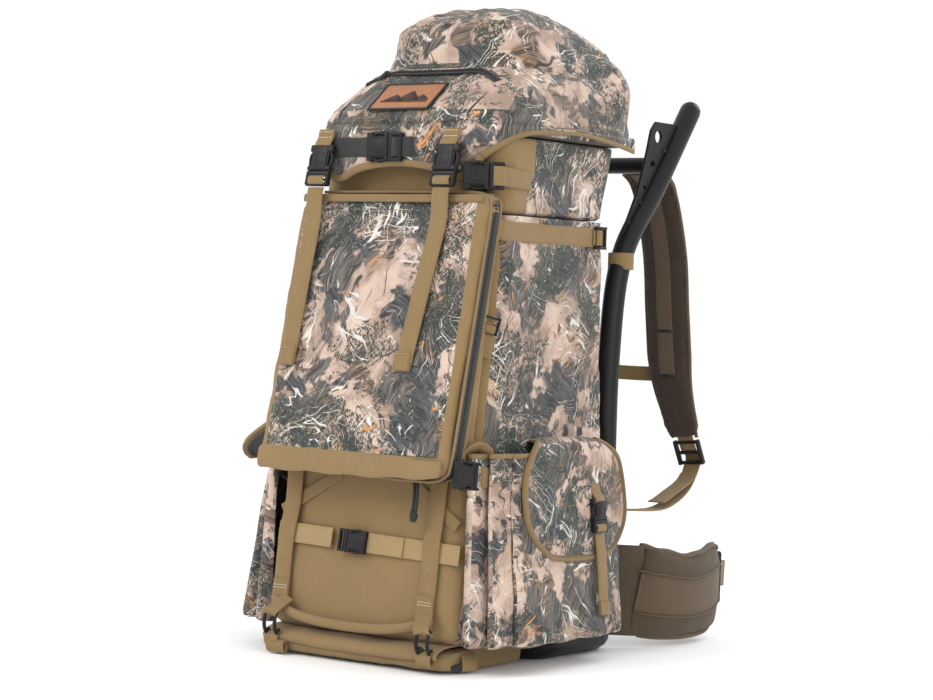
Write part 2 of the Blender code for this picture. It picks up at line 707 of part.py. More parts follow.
def build_shoulder_straps():
    bar_y = rail_at(CROSSBAR_HEIGHT)
    start = bar_y + CROSSBAR_RADIUS + 0.012
    wide = FRAME_HALF_WIDTH
    route = (
        (wide - 0.056, start, CROSSBAR_HEIGHT - 0.004),
        (wide - 0.052, start + 0.034, CROSSBAR_HEIGHT - 0.030),
        (wide - 0.042, start + 0.052, 0.530),
        (wide - 0.030, start + 0.046, 0.440),
        (wide - 0.018, start + 0.044, 0.350),
        (wide - 0.007, start + 0.066, 0.275),
    )
    lock_low = Vector((wide - 0.003, start + 0.080, 0.240))
    webbing_route = (
        (wide - 0.001, start + 0.078, 0.232),
        (wide + 0.001, start + 0.052, 0.205),
        (wide + 0.005, start + 0.012, 0.188),
        (wide + 0.009, start - 0.040, 0.180),
        (wide + 0.009, RAIL_PLACE + RAIL_RADIUS + LOCK_GAP, 0.184),
    )
    for name, side in (("right", 1), ("left", -1)):
        path = curve_through(mirrored(route, side), 3)
        count = len(path) - 1
        narrowing = [0.30 * max(0.0, index / count - 0.75) * 4 for index in range(count + 1)]
        widths = [SHOULDER_WIDTH * (1.0 - share) for share in narrowing]
        hinge = (side * route[0][0], bar_y, CROSSBAR_HEIGHT)
        strap = band(path, (1.0, 0.0, 0.0), widths, SHOULDER_THICKNESS, 0.004)
        add(f"shoulder_strap_{name}", strap, BROWN, pivot=hinge)
        end = path[-1]
        low = Vector((side * lock_low.x, lock_low.y, lock_low.z))
        along = (low - end).normalized()
        outward = Vector((1.0, 0.0, 0.0)).cross(along)
        lock = block((-0.019, -0.006, 0.0), (0.019, 0.006, (low - end).length), 0.0015)
        add(f"strap_lock_{name}", place(lock, end + along * LOCK_GAP, along, outward), BLACK, 0.45, end)
        webbing = curve_through(mirrored(webbing_route, side), 3)
        webbing[0] = low + along * (LOCK_GAP * 2)
        add(f"lower_webbing_{name}", band(webbing, (1.0, 0.0, 0.0), WEBBING, WEBBING_THICKNESS), TAN)
    middle = start + 0.044 + SHOULDER_THICKNESS / 2 + STERNUM_STANDS_OFF
    chest_out = (0.0, 1.0, 0.0)
    scale = 0.8
    seat = Vector((0.0, middle - BUCKLE_DEPTH * scale / 2, STERNUM_HEIGHT))
    add("sternum_socket", place(socket_shape(scale), seat, (1.0, 0.0, 0.0), chest_out), BLACK, 0.45, seat)
    add("sternum_prongs", place(prongs_shape(scale), seat, (1.0, 0.0, 0.0), chest_out), BLACK, 0.45, seat)
    reaches = {
        "right": (PRONG_BASE * scale + LOOSE, wide - 0.022),
        "left": (-SOCKET_LENGTH * scale - LOOSE, 0.022 - wide),
    }
    for name, (near, far) in reaches.items():
        ends = [Vector((x, middle, STERNUM_HEIGHT)) for x in (near, far)]
        webbing = band(ends, (0.0, 0.0, 1.0), WEBBING * scale, WEBBING_THICKNESS)
        add(f"sternum_webbing_{name}", webbing, TAN)


def build_hip_belt():
    route = [
        HIP_HINGE + Vector(step)
        for step in (
            (0.006, 0.014, 0.077),
            (0.028, 0.042, 0.071),
            (0.044, 0.092, 0.066),
            (0.042, 0.148, 0.073),
            (0.020, 0.202, 0.086),
        )
    ]
    heights = (0.128, 0.124, 0.116, 0.122, 0.112)  # of the wing at each of those points
    scale = 1.35
    for name, side in (("right", 1), ("left", -1)):
        path = curve_through(mirrored(route, side), HIP_STEPS)
        count = len(path) - 1
        widths = []
        for index in range(count + 1):
            step = min(index // HIP_STEPS, len(heights) - 2)
            share = index / HIP_STEPS - step
            widths.append(heights[step] + (heights[step + 1] - heights[step]) * share)
        widths[-1] *= 0.72
        hinge = Vector((side * HIP_HINGE.x, HIP_HINGE.y, path[0].z))
        wing = band(path, (0.0, 0.0, 1.0), widths, HIP_THICKNESS, 0.004)
        add(f"hip_wing_{name}", wing, BROWN, pivot=hinge)
        tip = path[-1]
        seat = Vector((tip.x - side * 0.030, tip.y + 0.004, tip.z - 0.004))
        outward = Vector((0.0, 1.0, 0.0))
        if side > 0:
            shape = place(prongs_shape(scale), seat, (1.0, 0.0, 0.0), outward)
        else:
            mouth = seat + Vector((0.040, 0.0, 0.0))
            shape = place(socket_shape(scale), mouth, (1.0, 0.0, 0.0), outward)
        title = "hip_prongs" if side > 0 else "hip_socket"
        add(title, shape, BLACK, 0.45, seat)


def build():
    for existing in list(bpy.data.objects):
        bpy.data.objects.remove(existing, do_unlink=True)
    build_bag()
    build_lid()
    build_front_pocket()
    build_side_pockets()
    build_flaps()
    build_lid_hardware()
    build_front_straps()
    build_lower_front()
    build_frame()
    build_shoulder_straps()
    build_hip_belt()


build()
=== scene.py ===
# %% [markdown]
# # A hunting pack on a moulded frame
# The pack is built around a frame that never moves. Every soft piece, strap and buckle
# below is shaped round those solids and then told which of them it rides on, so the lid
# still opens and the straps still swing. Lengths are in metres, +Z is up and the front
# pocket looks towards -Y.

# %% The frame
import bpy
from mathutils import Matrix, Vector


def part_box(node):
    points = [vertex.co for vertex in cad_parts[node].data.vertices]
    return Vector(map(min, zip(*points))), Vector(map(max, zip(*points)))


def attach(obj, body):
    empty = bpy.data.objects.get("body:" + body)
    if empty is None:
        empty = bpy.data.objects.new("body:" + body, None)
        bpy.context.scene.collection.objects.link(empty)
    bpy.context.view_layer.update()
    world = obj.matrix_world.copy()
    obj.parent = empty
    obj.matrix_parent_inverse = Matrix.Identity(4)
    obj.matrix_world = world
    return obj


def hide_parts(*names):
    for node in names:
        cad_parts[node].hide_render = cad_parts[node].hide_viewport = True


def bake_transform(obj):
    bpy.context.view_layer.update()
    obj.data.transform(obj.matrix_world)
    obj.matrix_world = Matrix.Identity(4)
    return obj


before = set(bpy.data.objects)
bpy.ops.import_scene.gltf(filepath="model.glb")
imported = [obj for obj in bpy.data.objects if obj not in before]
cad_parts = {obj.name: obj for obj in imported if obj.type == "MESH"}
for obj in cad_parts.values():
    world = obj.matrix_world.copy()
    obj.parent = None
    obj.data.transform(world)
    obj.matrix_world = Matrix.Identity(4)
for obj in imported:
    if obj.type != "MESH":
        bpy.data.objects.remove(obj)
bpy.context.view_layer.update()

from math import cos, pi, radians, sin, sqrt

import bmesh
import bpy
from mathutils import Matrix, Vector, noise

for existing in [item for item in bpy.data.objects if item.type in {"CAMERA", "LIGHT"}]:
    bpy.data.objects.remove(existing)

# %% [markdown]
# ## Camera, floor and light
# The camera stands low and to the front right, and is rolled a little, as a person
# holding it would. A long lens keeps the uprights nearly parallel. Three big soft lamps
# give the even light of a studio, and the floor is a plain pale sheet.

# %% Camera, floor and light
VIEW_AZIMUTH = radians(35.83)
VIEW_ELEVATION = radians(1.21)
VIEW_ROLL = radians(1.976)
VIEW_DISTANCE = 3.2
VIEW_SIDE = 0.013
VIEW_HEIGHT = 0.389
LENS = 95.0

back = Vector(
    (sin(VIEW_AZIMUTH) * cos(VIEW_ELEVATION), -cos(VIEW_AZIMUTH) * cos(VIEW_ELEVATION), sin(VIEW_ELEVATION))
)
right = Vector((cos(VIEW_AZIMUTH), sin(VIEW_AZIMUTH), 0.0))
above = back.cross(right)
camera_right = right * cos(VIEW_ROLL) + above * sin(VIEW_ROLL)
camera_up = above * cos(VIEW_ROLL) - right * sin(VIEW_ROLL)
camera_place = Vector((0.0, 0.0, VIEW_HEIGHT)) + right * VIEW_SIDE + back * VIEW_DISTANCE
camera = bpy.data.objects.new("camera", bpy.data.cameras.new("camera"))
camera.data.lens = LENS
camera.matrix_world = Matrix.Translation(camera_place) @ Matrix(
    (camera_right, camera_up, back)
).transposed().to_4x4()
bpy.context.scene.collection.objects.link(camera)
bpy.context.scene.camera = camera


def lamp(name, place, target, size, power):
    """A square area lamp that shines from a place towards a target."""
    made = bpy.data.objects.new(name, bpy.data.lights.new(name, "AREA"))
    made.data.size = size
    made.data.energy = power
    aim = (Vector(target) - Vector(place)).to_track_quat("-Z", "Y")
    made.matrix_world = Matrix.Translation(place) @ aim.to_matrix().to_4x4()
    bpy.context.scene.collection.objects.link(made)


lamp("key", (-1.2, -2.6, 2.2), (0.0, 0.0, 0.45), 1.6, 46)
lamp("fill", (2.8, -1.2, 1.3), (0.0, 0.0, 0.4), 2.0, 26)
lamp("rim", (0.6, 2.6, 2.4), (0.0, 0.1, 0.5), 1.6, 34)

world = bpy.data.worlds.new("studio")
world.use_nodes = True
world.node_tree.nodes["Background"].inputs["Color"].default_value = (1.0, 1.0, 1.0, 1.0)
world.node_tree.nodes["Background"].inputs["Strength"].default_value = 1.05
bpy.context.scene.world = world
bpy.context.scene.view_settings.view_transform = "Standard"

# %% [markdown]
# ## Shader maths
# A pattern is easier to read as an expression than as a web of wires. This class wraps a
# node's output, and each operator on it adds the Math node that does that sum. Colours go
# through Mix nodes, because a Math node would turn them grey.

# %% Shader maths


class Sock:
    """A shader output that can be used in sums."""

    def __init__(self, tree, link):
        self.tree, self.link = tree, link

    def maths(self, operation, *others):
        node = self.tree.nodes.new("ShaderNodeMath")
        node.operation = operation
        for index, value in enumerate((self, *others)):
            feed(self.tree, node.inputs[index], value)
        return Sock(self.tree, node.outputs[0])

    def __add__(self, other):
        return self.maths("ADD", other)

    def __sub__(self, other):
        return self.maths("SUBTRACT", other)

    def __mul__(self, other):
        return self.maths("MULTIPLY", other)

    __radd__ = __add__
    __rmul__ = __mul__

    def __rsub__(self, other):
        return (self * -1.0) + other

    def step(self, low, high):
        """0 below low and 1 above high, smooth between them. High below low turns it round."""
        node = self.tree.nodes.new("ShaderNodeMapRange")
        node.interpolation_type = "SMOOTHSTEP"
        feed(self.tree, node.inputs["Value"], self)
        turned = high < low
        node.inputs["From Min"].default_value = min(low, high)
        node.inputs["From Max"].default_value = max(low, high)
        node.inputs["To Min"].default_value = 1.0 if turned else 0.0
        node.inputs["To Max"].default_value = 0.0 if turned else 1.0
        return Sock(self.tree, node.outputs["Result"])


def feed(tree, socket, value):
    """Links a Sock to a socket, or sets the socket's own value."""
    if isinstance(value, Sock):
        tree.links.new(value.link, socket)
    else:
        socket.default_value = value


class Finish:
    """A material in the making: a Principled shader, and one way to add any other node."""

    def __init__(self, name, colour, roughness, sheen=0.0):
        self.material = bpy.data.materials.new(name)
        self.material.use_nodes = True
        self.tree = self.material.node_tree
        self.shader = self.tree.nodes["Principled BSDF"]
        self.set("Base Color", (*colour, 1.0))
        self.set("Roughness", roughness)
        if sheen:
            self.set("Sheen Weight", sheen)
            self.set("Sheen Roughness", 0.5)

    def set(self, name, value):
        feed(self.tree, self.shader.inputs[name], value)

    def node(self, kind, output, settings=None, **inputs):
        """Adds a node of a kind with its settings and inputs, and returns one of its outputs."""
        made = self.tree.nodes.new("ShaderNode" + kind)
        for key, value in (settings or {}).items():
            setattr(made, key, value)
        for key, value in inputs.items():
            feed(self.tree, made.inputs[key.replace("_", " ")], value)
        return Sock(self.tree, made.outputs[output])

    def place(self, attribute=None):
        """Object coordinates, or a named attribute of the piece's own."""
        if attribute:
            return self.node("Attribute", "Vector", {"attribute_name": attribute})
        return self.node("TexCoord", "Object")

    def mapped(self, vector, scale=(1.0, 1.0, 1.0), turn=(0.0, 0.0, 0.0), shift=(0.0, 0.0, 0.0)):
        return self.node("Mapping", "Vector", Vector=vector, Scale=scale, Rotation=turn, Location=shift)

    def noise(self, vector, scale, detail=3.0, roughness=0.5, distortion=0.0, output="Fac"):
        return self.node(
            "TexNoise", output, Vector=vector, Scale=scale, Detail=detail, Roughness=roughness,
            Distortion=distortion
        )

    def mix(self, factor, first, second):
        """A colour between two, by a factor."""
        made = self.tree.nodes.new("ShaderNodeMix")
        made.data_type = "RGBA"
        feed(self.tree, made.inputs["Factor"], factor)
        for name, value in (("A", first), ("B", second)):
            socket = next(item for item in made.inputs if item.name == name and item.type == "RGBA")
            feed(self.tree, socket, (*value, 1.0) if isinstance(value, tuple) and len(value) == 3 else value)
        return Sock(self.tree, next(item for item in made.outputs if item.type == "RGBA"))

    def bump(self, height, distance, strength=1.0):
        self.set("Normal", self.node("Bump", "Normal", Height=height, Distance=distance, Strength=strength))


# %% [markdown]
# ## Cloth finishes
# All the cloth is woven, and a weave is two sets of waves at right angles. The pieces that
# are wrapped in cloth carry a flat map of themselves in metres, called cloth, so the weave
# and the print keep one size everywhere and break at the seams as cut cloth does. Webbing
# carries a map called strip instead: across the strap, then along it.

# %% Weave and plain cloth
THREAD = 0.0011  # between two threads of the coarse tan cloth


def weave(finish, vector, pitch, slack=0.25):
    """The height of a plain weave, from 0 to 1, with threads that wander a little."""
    spread = 2 * pi / pitch / (2 * pi)
    over = finish.node(
        "TexWave", "Fac", {"bands_direction": "X"}, Vector=vector, Scale=spread / 3.2, Distortion=slack
    )
    under = finish.node(
        "TexWave", "Fac", {"bands_direction": "Y"}, Vector=vector, Scale=spread / 3.2, Distortion=slack
    )
    return over * 0.5 + under * 0.5


def cloth_finish(name, light, dark, pitch=THREAD, roughness=0.88, depth=0.00035):
    """Plain woven cloth with faded patches, painted shade in the weave's hollows and loose threads."""
    finish = Finish(name, light, roughness, sheen=0.12)
    place = finish.place("cloth")
    threads = weave(finish, place, pitch)
    faded = finish.noise(place, 9.0, 4.0, 0.6)
    slub = finish.noise(finish.mapped(place, (900.0, 60.0, 1.0)), 1.0, 2.0)
    # Painted shade: the weave's height also sets the colour, so its hollows are darker; the faded patches and
    # slubs are the cloth's own tone.
    hollow_shade_and_fading = threads * 0.35 + faded * 0.5 + slub * 0.35 - 0.1
    finish.set("Base Color", finish.mix(hollow_shade_and_fading, dark, light))
    finish.bump(threads + slub * 0.5 + finish.noise(place, 60.0, 3.0) * 0.8, depth)
    return finish.material


TAN_CLOTH = cloth_finish("tan_cloth", (0.318, 0.208, 0.086), (0.16, 0.1, 0.039))
DARK_CLOTH = cloth_finish("dark_brown_cloth", (0.098, 0.066, 0.036), (0.044, 0.029, 0.016))
LINING = cloth_finish("black_lining", (0.022, 0.022, 0.022), (0.008, 0.008, 0.008), roughness=0.8)

# %% [markdown]
# ## The woodland print
# The print is painted in layers, as a printer lays them down: a pale ground, then bark that
# leans a different way in each patch, then tufts of dark needles, then twigs, and last dead
# grass. Cloth coordinates are turned first and stretched second, because the other order
# leaves every streak upright. A slow noise keeps each layer to its own patches.

# %% The woodland print


def woodland():
    finish = Finish("woodland_print", (0.42, 0.31, 0.24), 0.66, sheen=0.05)
    place = finish.place("cloth")
    wander = finish.noise(place, 8.0, 3.0, 0.6, output="Color")
    bent = finish.node("VectorMath", "Vector", {"operation": "MULTIPLY_ADD"}, Vector=wander)
    bent.link.node.inputs[1].default_value = (0.075, 0.075, 0.0)
    finish.tree.links.new(place.link, bent.link.node.inputs[2])

    def streaks(turn, across, along, seed, detail=3.0, base=bent):
        turned = finish.mapped(base, turn=(0.0, 0.0, turn))
        return finish.noise(
            finish.mapped(turned, (across, along, 1.0), shift=(seed, seed * 1.7, 0.0)), 1.0, detail, 0.6,
            0.5
        )

    def patch(size, seed, low, width=0.035, detail=4.0):
        return finish.noise(
            finish.mapped(bent, shift=(seed, -seed, 0.0)), size, detail, 0.62
        ).step(low, low + width)

    def bark(turn, seed, dark, middle, pale):
        lines = streaks(turn, 400.0, 24.0, seed, 5.0)
        tone = finish.mix(lines.step(0.36, 0.58), dark, middle)
        return finish.mix(lines.step(0.6, 0.72), tone, pale)

    def blades(turn, across, along, seed, width):
        lines = streaks(turn, across, along, seed, 1.0, bent)
        return (lines - 0.5).maths("ABSOLUTE").step(width, width * 0.3)

    shading = finish.noise(bent, 17.0, 4.0, 0.6)
    colour = finish.mix(shading.step(0.38, 0.62), (0.335, 0.225, 0.165), (0.63, 0.47, 0.38))
    fine = streaks(0.5, 240.0, 16.0, 2.2)
    colour = finish.mix(fine.step(0.55, 0.68) * patch(15.0, 21.0, 0.5) * 0.8, colour, (0.2, 0.135, 0.095))

    colour = finish.mix(
        patch(11.0, 3.0, 0.5), colour,
        bark(0.45, 1.1, (0.014, 0.014, 0.015), (0.145, 0.125, 0.105), (0.5, 0.46, 0.41))
    )
    colour = finish.mix(
        patch(12.0, 7.5, 0.54), colour,
        bark(-0.85, 4.3, (0.01, 0.011, 0.013), (0.08, 0.082, 0.084), (0.36, 0.36, 0.36))
    )
    colour = finish.mix(
        patch(13.0, 12.0, 0.57), colour,
        bark(1.25, 8.8, (0.03, 0.019, 0.013), (0.23, 0.155, 0.105), (0.62, 0.52, 0.43))
    )
    colour = finish.mix(
        patch(14.0, 16.5, 0.6), colour,
        bark(0.05, 6.1, (0.008, 0.009, 0.009), (0.035, 0.038, 0.034), (0.2, 0.2, 0.17))
    )

    tuft = patch(11.0, 31.0, 0.505, 0.02, 5.0)
    needle_a = streaks(0.75, 420.0, 105.0, 3.0, 2.0, place)
    needle_b = streaks(-0.55, 430.0, 110.0, 9.0, 2.0, place)
    colour = finish.mix(
        tuft * needle_a.maths("MAXIMUM", needle_b).step(0.5, 0.56), colour, (0.012, 0.019, 0.013)
    )
    colour = finish.mix(tuft * needle_b.step(0.6, 0.66), colour, (0.165, 0.195, 0.125))
    colour = finish.mix(tuft * needle_a.step(0.65, 0.7), colour, (0.52, 0.54, 0.46))

    for turn, seed, tone in ((1.0, 5.0, (0.02, 0.015, 0.014)), (-0.25, 14.0, (0.012, 0.011, 0.012))):
        twig = blades(turn, 24.0, 5.0, seed, 0.0075)
        colour = finish.mix(twig * patch(13.0, seed * 2.0, 0.49) * 0.92, colour, tone)
    for turn, seed, low, tone in (
        (0.35, 1.7, 0.53, (0.74, 0.69, 0.61)),
        (-0.95, 4.2, 0.54, (0.66, 0.64, 0.6)),
        (1.45, 6.6, 0.55, (0.78, 0.74, 0.68)),
        (0.95, 9.1, 0.6, (0.62, 0.26, 0.07)),
        (-0.4, 12.5, 0.61, (0.66, 0.32, 0.1)),
    ):
        blade = blades(turn, 74.0, 7.5, seed, 0.015)
        colour = finish.mix(blade * patch(12.0, seed * 3.1, low), colour, tone)

    threads = weave(finish, place, 0.0007)
    finish.set("Base Color", finish.mix(threads * 0.14, colour, (0.02, 0.02, 0.02)))
    finish.set("Roughness", 0.66 - threads * 0.12)
    finish.bump(threads + finish.noise(place, 90.0, 3.0) * 1.2, 0.00022)
    return finish.material


WOODLAND = woodland()

# %% [markdown]
# ## Webbing, plastic and padding
# Webbing is a thick flat weave with a ribbed face and a hard edge on each side. The black
# plastic is moulded, so it has a fine spark-eroded grain and rubbed, slightly shiny edges.
# The harness is faced with a mesh of small open cells.

# %% Webbing, plastic and padding


def webbing_finish(name, light, dark):
    finish = Finish(name, light, 0.74, sheen=0.1)
    place = finish.place("strip")
    ribs = finish.node("TexWave", "Fac", {"bands_direction": "X"}, Vector=place, Scale=210.0, Distortion=0.4)
    picks = finish.node("TexWave", "Fac", {"bands_direction": "Y"}, Vector=place, Scale=260.0, Distortion=0.6)
    worn = finish.noise(place, 34.0, 4.0, 0.6)
    # Painted shade: the ribs and picks lighten the raised threads, so the hollows between them are darker; the
    # worn patches are real wear.
    tone = ribs * 0.34 + picks * 0.22 + worn * 0.5
    finish.set("Base Color", finish.mix(tone, dark, light))
    finish.bump(ribs * 0.7 + picks * 0.6 + worn * 0.4, 0.0004)
    return finish.material


def plastic_finish(name, colour, roughness, grain=1400.0):
    finish = Finish(name, colour, roughness)
    finish.set("Specular IOR Level", 0.22)
    place = finish.place()
    grains = finish.noise(place, grain, 2.0, 0.6)
    scuffs = finish.noise(finish.mapped(place, (1.0, 1.0, 3.0)), 46.0, 5.0, 0.7)
    finish.set("Roughness", scuffs * 0.22 + (roughness - 0.11))
    pale = tuple(min(1.0, channel * 2.4 + 0.006) for channel in colour)
    finish.set("Base Color", finish.mix(scuffs.step(0.6, 0.86) * 0.5, colour, pale))
    finish.bump(grains + scuffs * 0.7, 0.00012)
    return finish.material


def mesh_finish(name, light, dark, cell=0.0028):
    """Spacer mesh: small round cells in a net of knitted cloth, with painted shade in the cells."""
    finish = Finish(name, light, 0.92, sheen=0.05)
    place = finish.place("cloth")
    cells = finish.node(
        "TexVoronoi", "Distance", {"feature": "F1"}, Vector=place, Scale=1.0 / cell, Randomness=0.25
    )
    worn = finish.noise(place, 20.0, 4.0, 0.6)
    hole = cells.step(0.48, 0.22)
    # Painted shade: the sunken cells are coloured nearly black for the shade inside their holes.
    finish.set("Base Color", finish.mix(hole * 0.75, finish.mix(worn, dark, light), (0.008, 0.006, 0.004)))
    finish.bump((hole * -1.0) + worn * 0.5, 0.0006)
    return finish.material


TAN_WEBBING = webbing_finish("tan_webbing", (0.318, 0.204, 0.076), (0.14, 0.084, 0.028))
BROWN_WEBBING = webbing_finish("brown_webbing", (0.14, 0.092, 0.048), (0.06, 0.038, 0.019))
BLACK_WEBBING = webbing_finish("black_webbing", (0.024, 0.024, 0.024), (0.007, 0.007, 0.007))
BINDING = webbing_finish("tan_binding", (0.3, 0.195, 0.078), (0.14, 0.086, 0.03))
BUCKLE_PLASTIC = plastic_finish("buckle_plastic", (0.013, 0.013, 0.014), 0.42)
FRAME_PLASTIC = plastic_finish("frame_plastic", (0.009, 0.009, 0.01), 0.36, 900.0)
HARNESS_MESH = mesh_finish("harness_mesh", (0.07, 0.046, 0.03), (0.03, 0.019, 0.012))
TAN_THREAD = Finish("tan_thread", (0.46, 0.33, 0.17), 0.8).material
PALE_THREAD = Finish("pale_thread", (0.62, 0.58, 0.48), 0.8).material
BLACK_THREAD = Finish("black_thread", (0.01, 0.01, 0.01), 0.7).material
BROWN_THREAD = Finish("brown_thread", (0.05, 0.032, 0.018), 0.8).material
# %% [markdown]
# ## Putting a piece in the scene
# Every shape is finished by the same few steps: it becomes a mesh, its faces are smoothed
# except where they meet at a sharp angle, it gets a finish, it is hung on the body it
# rides on, and the solids it stands for are hidden.

# %% Finishing a piece
tally = {"pieces": 0, "faces": 0}


def cloth_map(shape, size=1.0, turn=0.0):
    """Gives each face a flat map in metres, seen from the side that it faces most."""
    layer = shape.loops.layers.uv.get("cloth") or shape.loops.layers.uv.new("cloth")
    shape.normal_update()
    for face in shape.faces:
        lean = [abs(part) for part in face.normal]
        side = lean.index(max(lean))
        sign = 1.0 if face.normal[side] > 0 else -1.0
        for loop in face.loops:
            x, y, z = loop.vert.co
            flat = ((y * sign + 3.0, z), (-x * sign, z + 5.0 if sign > 0 else z), (x + 7.0, y))[side]
            u, v = flat[0] * cos(turn) - flat[1] * sin(turn), flat[0] * sin(turn) + flat[1] * cos(turn)
            loop[layer].uv = (u * size, v * size)


def finish_piece(
    name, shape, finishes, body, stands_for=(), sharp=40, levels=0, wall=0.0,
    keep_map=False
):
    """Makes a piece of a finished shape, hangs it on the body it rides on and hides the solids it stands for.
    """
    if not keep_map:
        cloth_map(shape)
    mesh = bpy.data.meshes.new(name)
    shape.to_mesh(mesh)
    shape.free()
    mesh.shade_smooth()
    if sharp < 180:
        mesh.set_sharp_from_angle(angle=radians(sharp))
    for material in finishes if isinstance(finishes, (list, tuple)) else [finishes]:
        mesh.materials.append(material)
    made = bpy.data.objects.new(name, mesh)
    bpy.context.scene.collection.objects.link(made)
    if wall:
        thickness = made.modifiers.new("wall", "SOLIDIFY")
        thickness.thickness = wall
        thickness.offset = 0.0
    if levels:
        rounding = made.modifiers.new("rounding", "SUBSURF")
        rounding.levels = rounding.render_levels = levels
    if stands_for:
        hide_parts(*stands_for)
    if body:
        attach(made, body)
    tally["pieces"] += 1
    tally["faces"] += len(mesh.polygons) * 4**levels
    return made


def merge(shapes):
    """Puts several shapes into the first one."""
    first = shapes[0]
    for other in shapes[1:]:
        carrier = bpy.data.meshes.new("carrier")
        other.to_mesh(carrier)
        other.free()
        first.from_mesh(carrier)
        bpy.data.meshes.remove(carrier)
    return first


# %% [markdown]
# ## Lofts
# Most of the pack is soft cloth that changes its outline slowly, so a loft suits it: a
# ring of points becomes one face, and that face is pulled out again and again to the next
# ring. Straps are lofts too, with a small flat ring that keeps its width as it goes.

# %% Lofts


def loft(rings, closed=True, strip=None):
    """Extrudes a face from ring to ring. strip gives each ring point its place across a strap."""
    shape = bmesh.new()
    layer = shape.verts.layers.float_vector.new("strip") if strip else None
    bmesh.ops.create_circle(shape, cap_ends=True, radius=1.0, segments=len(rings[0]))
    shape.faces.ensure_lookup_table()
    face = shape.faces[0]
    travelled, middle = 0.0, None
    for index, ring in enumerate(rings):
        if index:
            grown = bmesh.ops.extrude_face_region(shape, geom=[face])
            if index > 1 or not closed:
                bmesh.ops.delete(shape, geom=[face], context="FACES_ONLY")
            face = next(item for item in grown["geom"] if isinstance(item, bmesh.types.BMFace))
        centre = sum((Vector(point) for point in ring), Vector()) / len(ring)
        travelled += (centre - middle).length if middle else 0.0
        middle = centre
        for order, (vert, point) in enumerate(zip(face.verts, ring)):
            vert.co = point
            if strip:
                vert[layer] = (strip[order], travelled, 0.0)
    if not closed:
        bmesh.ops.delete(shape, geom=[face], context="FACES_ONLY")
    bmesh.ops.recalc_face_normals(shape, faces=shape.faces)
    return shape


def rounded_ring(x_span, y_span, radius, height, steps=4, sides=6, front_radius=None):
    """Points round a level rectangle with round corners, with points along its sides too."""
    (left, right_), (front, rear) = x_span, y_span
    ahead = front_radius or radius
    corners = (
        (right_ - radius, rear - radius, radius),
        (left + radius, rear - radius, radius),
        (left + ahead, front + ahead, ahead),
        (right_ - ahead, front + ahead, ahead),
    )
    points = []
    for quarter, (x, y, bend) in enumerate(corners):
        for step in range(steps + 1):
            angle = pi / 2 * (quarter + step / steps)
            points.append(Vector((x + bend * cos(angle), y + bend * sin(angle), height)))
        after = corners[(quarter + 1) % 4]
        angle = pi / 2 * (quarter + 1)
        begin, end = points[-1], Vector(
            (after[0] + after[2] * cos(angle), after[1] + after[2] * sin(angle), height)
        )
        for step in range(1, sides):
            points.append(begin.lerp(end, step / sides))
    return points


def curve_through(points, steps=4):
    """A smooth path through a few points, with each stretch cut into equal steps."""
    points = [Vector(point) for point in points]
    ends = [points[0] * 2 - points[1], *points, points[-1] * 2 - points[-2]]
    path = []
    for index in range(1, len(ends) - 2):
        before, start, end, after = ends[index - 1 : index + 3]
        for step in range(steps):
            t = step / steps
            path.append(
                0.5
                * (
                    2 * start
                    + (end - before) * t
                    + (2 * before - 5 * start + 4 * end - after) * t**2
                    + (3 * start - before - 3 * end + after) * t**3
                )
            )
    return [*path, points[-1].copy()]


def tangents(path):
    return [
        (path[min(index + 1, len(path) - 1)] - path[max(index - 1, 0)]).normalized()
        for index in range(len(path))
    ]


def tube(path, radius, sides=16, round_end=0.0, side_hint=(1.0, 0.0, 0.0), flat=1.0):
    """A round bar, cord or piping along a path. flat squashes it, and round_end domes both ends."""
    path = [Vector(point) for point in path]
    rings, hint = [], Vector(side_hint)
    for index, (point, tangent) in enumerate(zip(path, tangents(path))):
        other = tangent.cross(hint).normalized()
        hint = other.cross(tangent).normalized()
        stretch = [(0.0, 1.0)]
        if round_end and index == len(path) - 1:
            stretch = [(sin(pi / 8 * step), cos(pi / 8 * step)) for step in range(4)]
        elif round_end and index == 0:
            stretch = [(-sin(pi / 8 * step), cos(pi / 8 * step)) for step in (3, 2, 1, 0)]
        for ahead, share in stretch:
            centre = point + tangent * radius * ahead
            rings.append(
                [
                    centre
                    + radius * share * (
                        hint * cos(2 * pi * side / sides) + other * flat * sin(2 * pi * side / sides)
                    )
                    for side in range(sides)
                ]
            )
    return loft(rings, strip=[side / sides * 2 * pi * radius for side in range(sides)])


STRAP_PROFILE = (-0.5, -0.47, -0.25, 0.0, 0.25, 0.47, 0.5)  # across a strap, as shares of its width


def strap(path, across, width, thickness=0.002, cup=0.0):
    """Webbing along a path. across is one direction or one for each point, cup bows its section."""
    path = [Vector(point) for point in path]
    rings = []
    widths = width if isinstance(width, (list, tuple)) else [width] * len(path)
    strip = []
    for index, (point, tangent) in enumerate(zip(path, tangents(path))):
        side = Vector(across[index] if isinstance(across, list) else across)
        out = tangent.cross(side).normalized()
        side = out.cross(tangent).normalized()
        upper, lower = [], []
        for share in STRAP_PROFILE:
            half = thickness / 2 * (0.45 if abs(share) == 0.5 else 1.0)
            base = point + side * share * widths[index] + out * cup * (1 - 4 * share * share)
            upper.append(base + out * half)
            lower.append(base - out * half)
        rings.append(upper + lower[::-1])
        if not strip:
            across_map = [share * widths[index] for share in STRAP_PROFILE]
            strip = across_map + across_map[::-1]
    return loft(rings, strip=strip)


def block(low, high, edge, segments=2):
    """A box between two corners with its edges rounded over."""
    low, high = Vector(low), Vector(high)
    shape = bmesh.new()
    bmesh.ops.create_cube(shape, size=1.0)
    bmesh.ops.scale(shape, verts=shape.verts, vec=high - low)
    bmesh.ops.translate(shape, verts=shape.verts, vec=(low + high) / 2)
    bmesh.ops.bevel(
        shape, geom=shape.edges[:], offset=edge, segments=segments, profile=0.5, affect="EDGES", material=-1
    )
    return shape


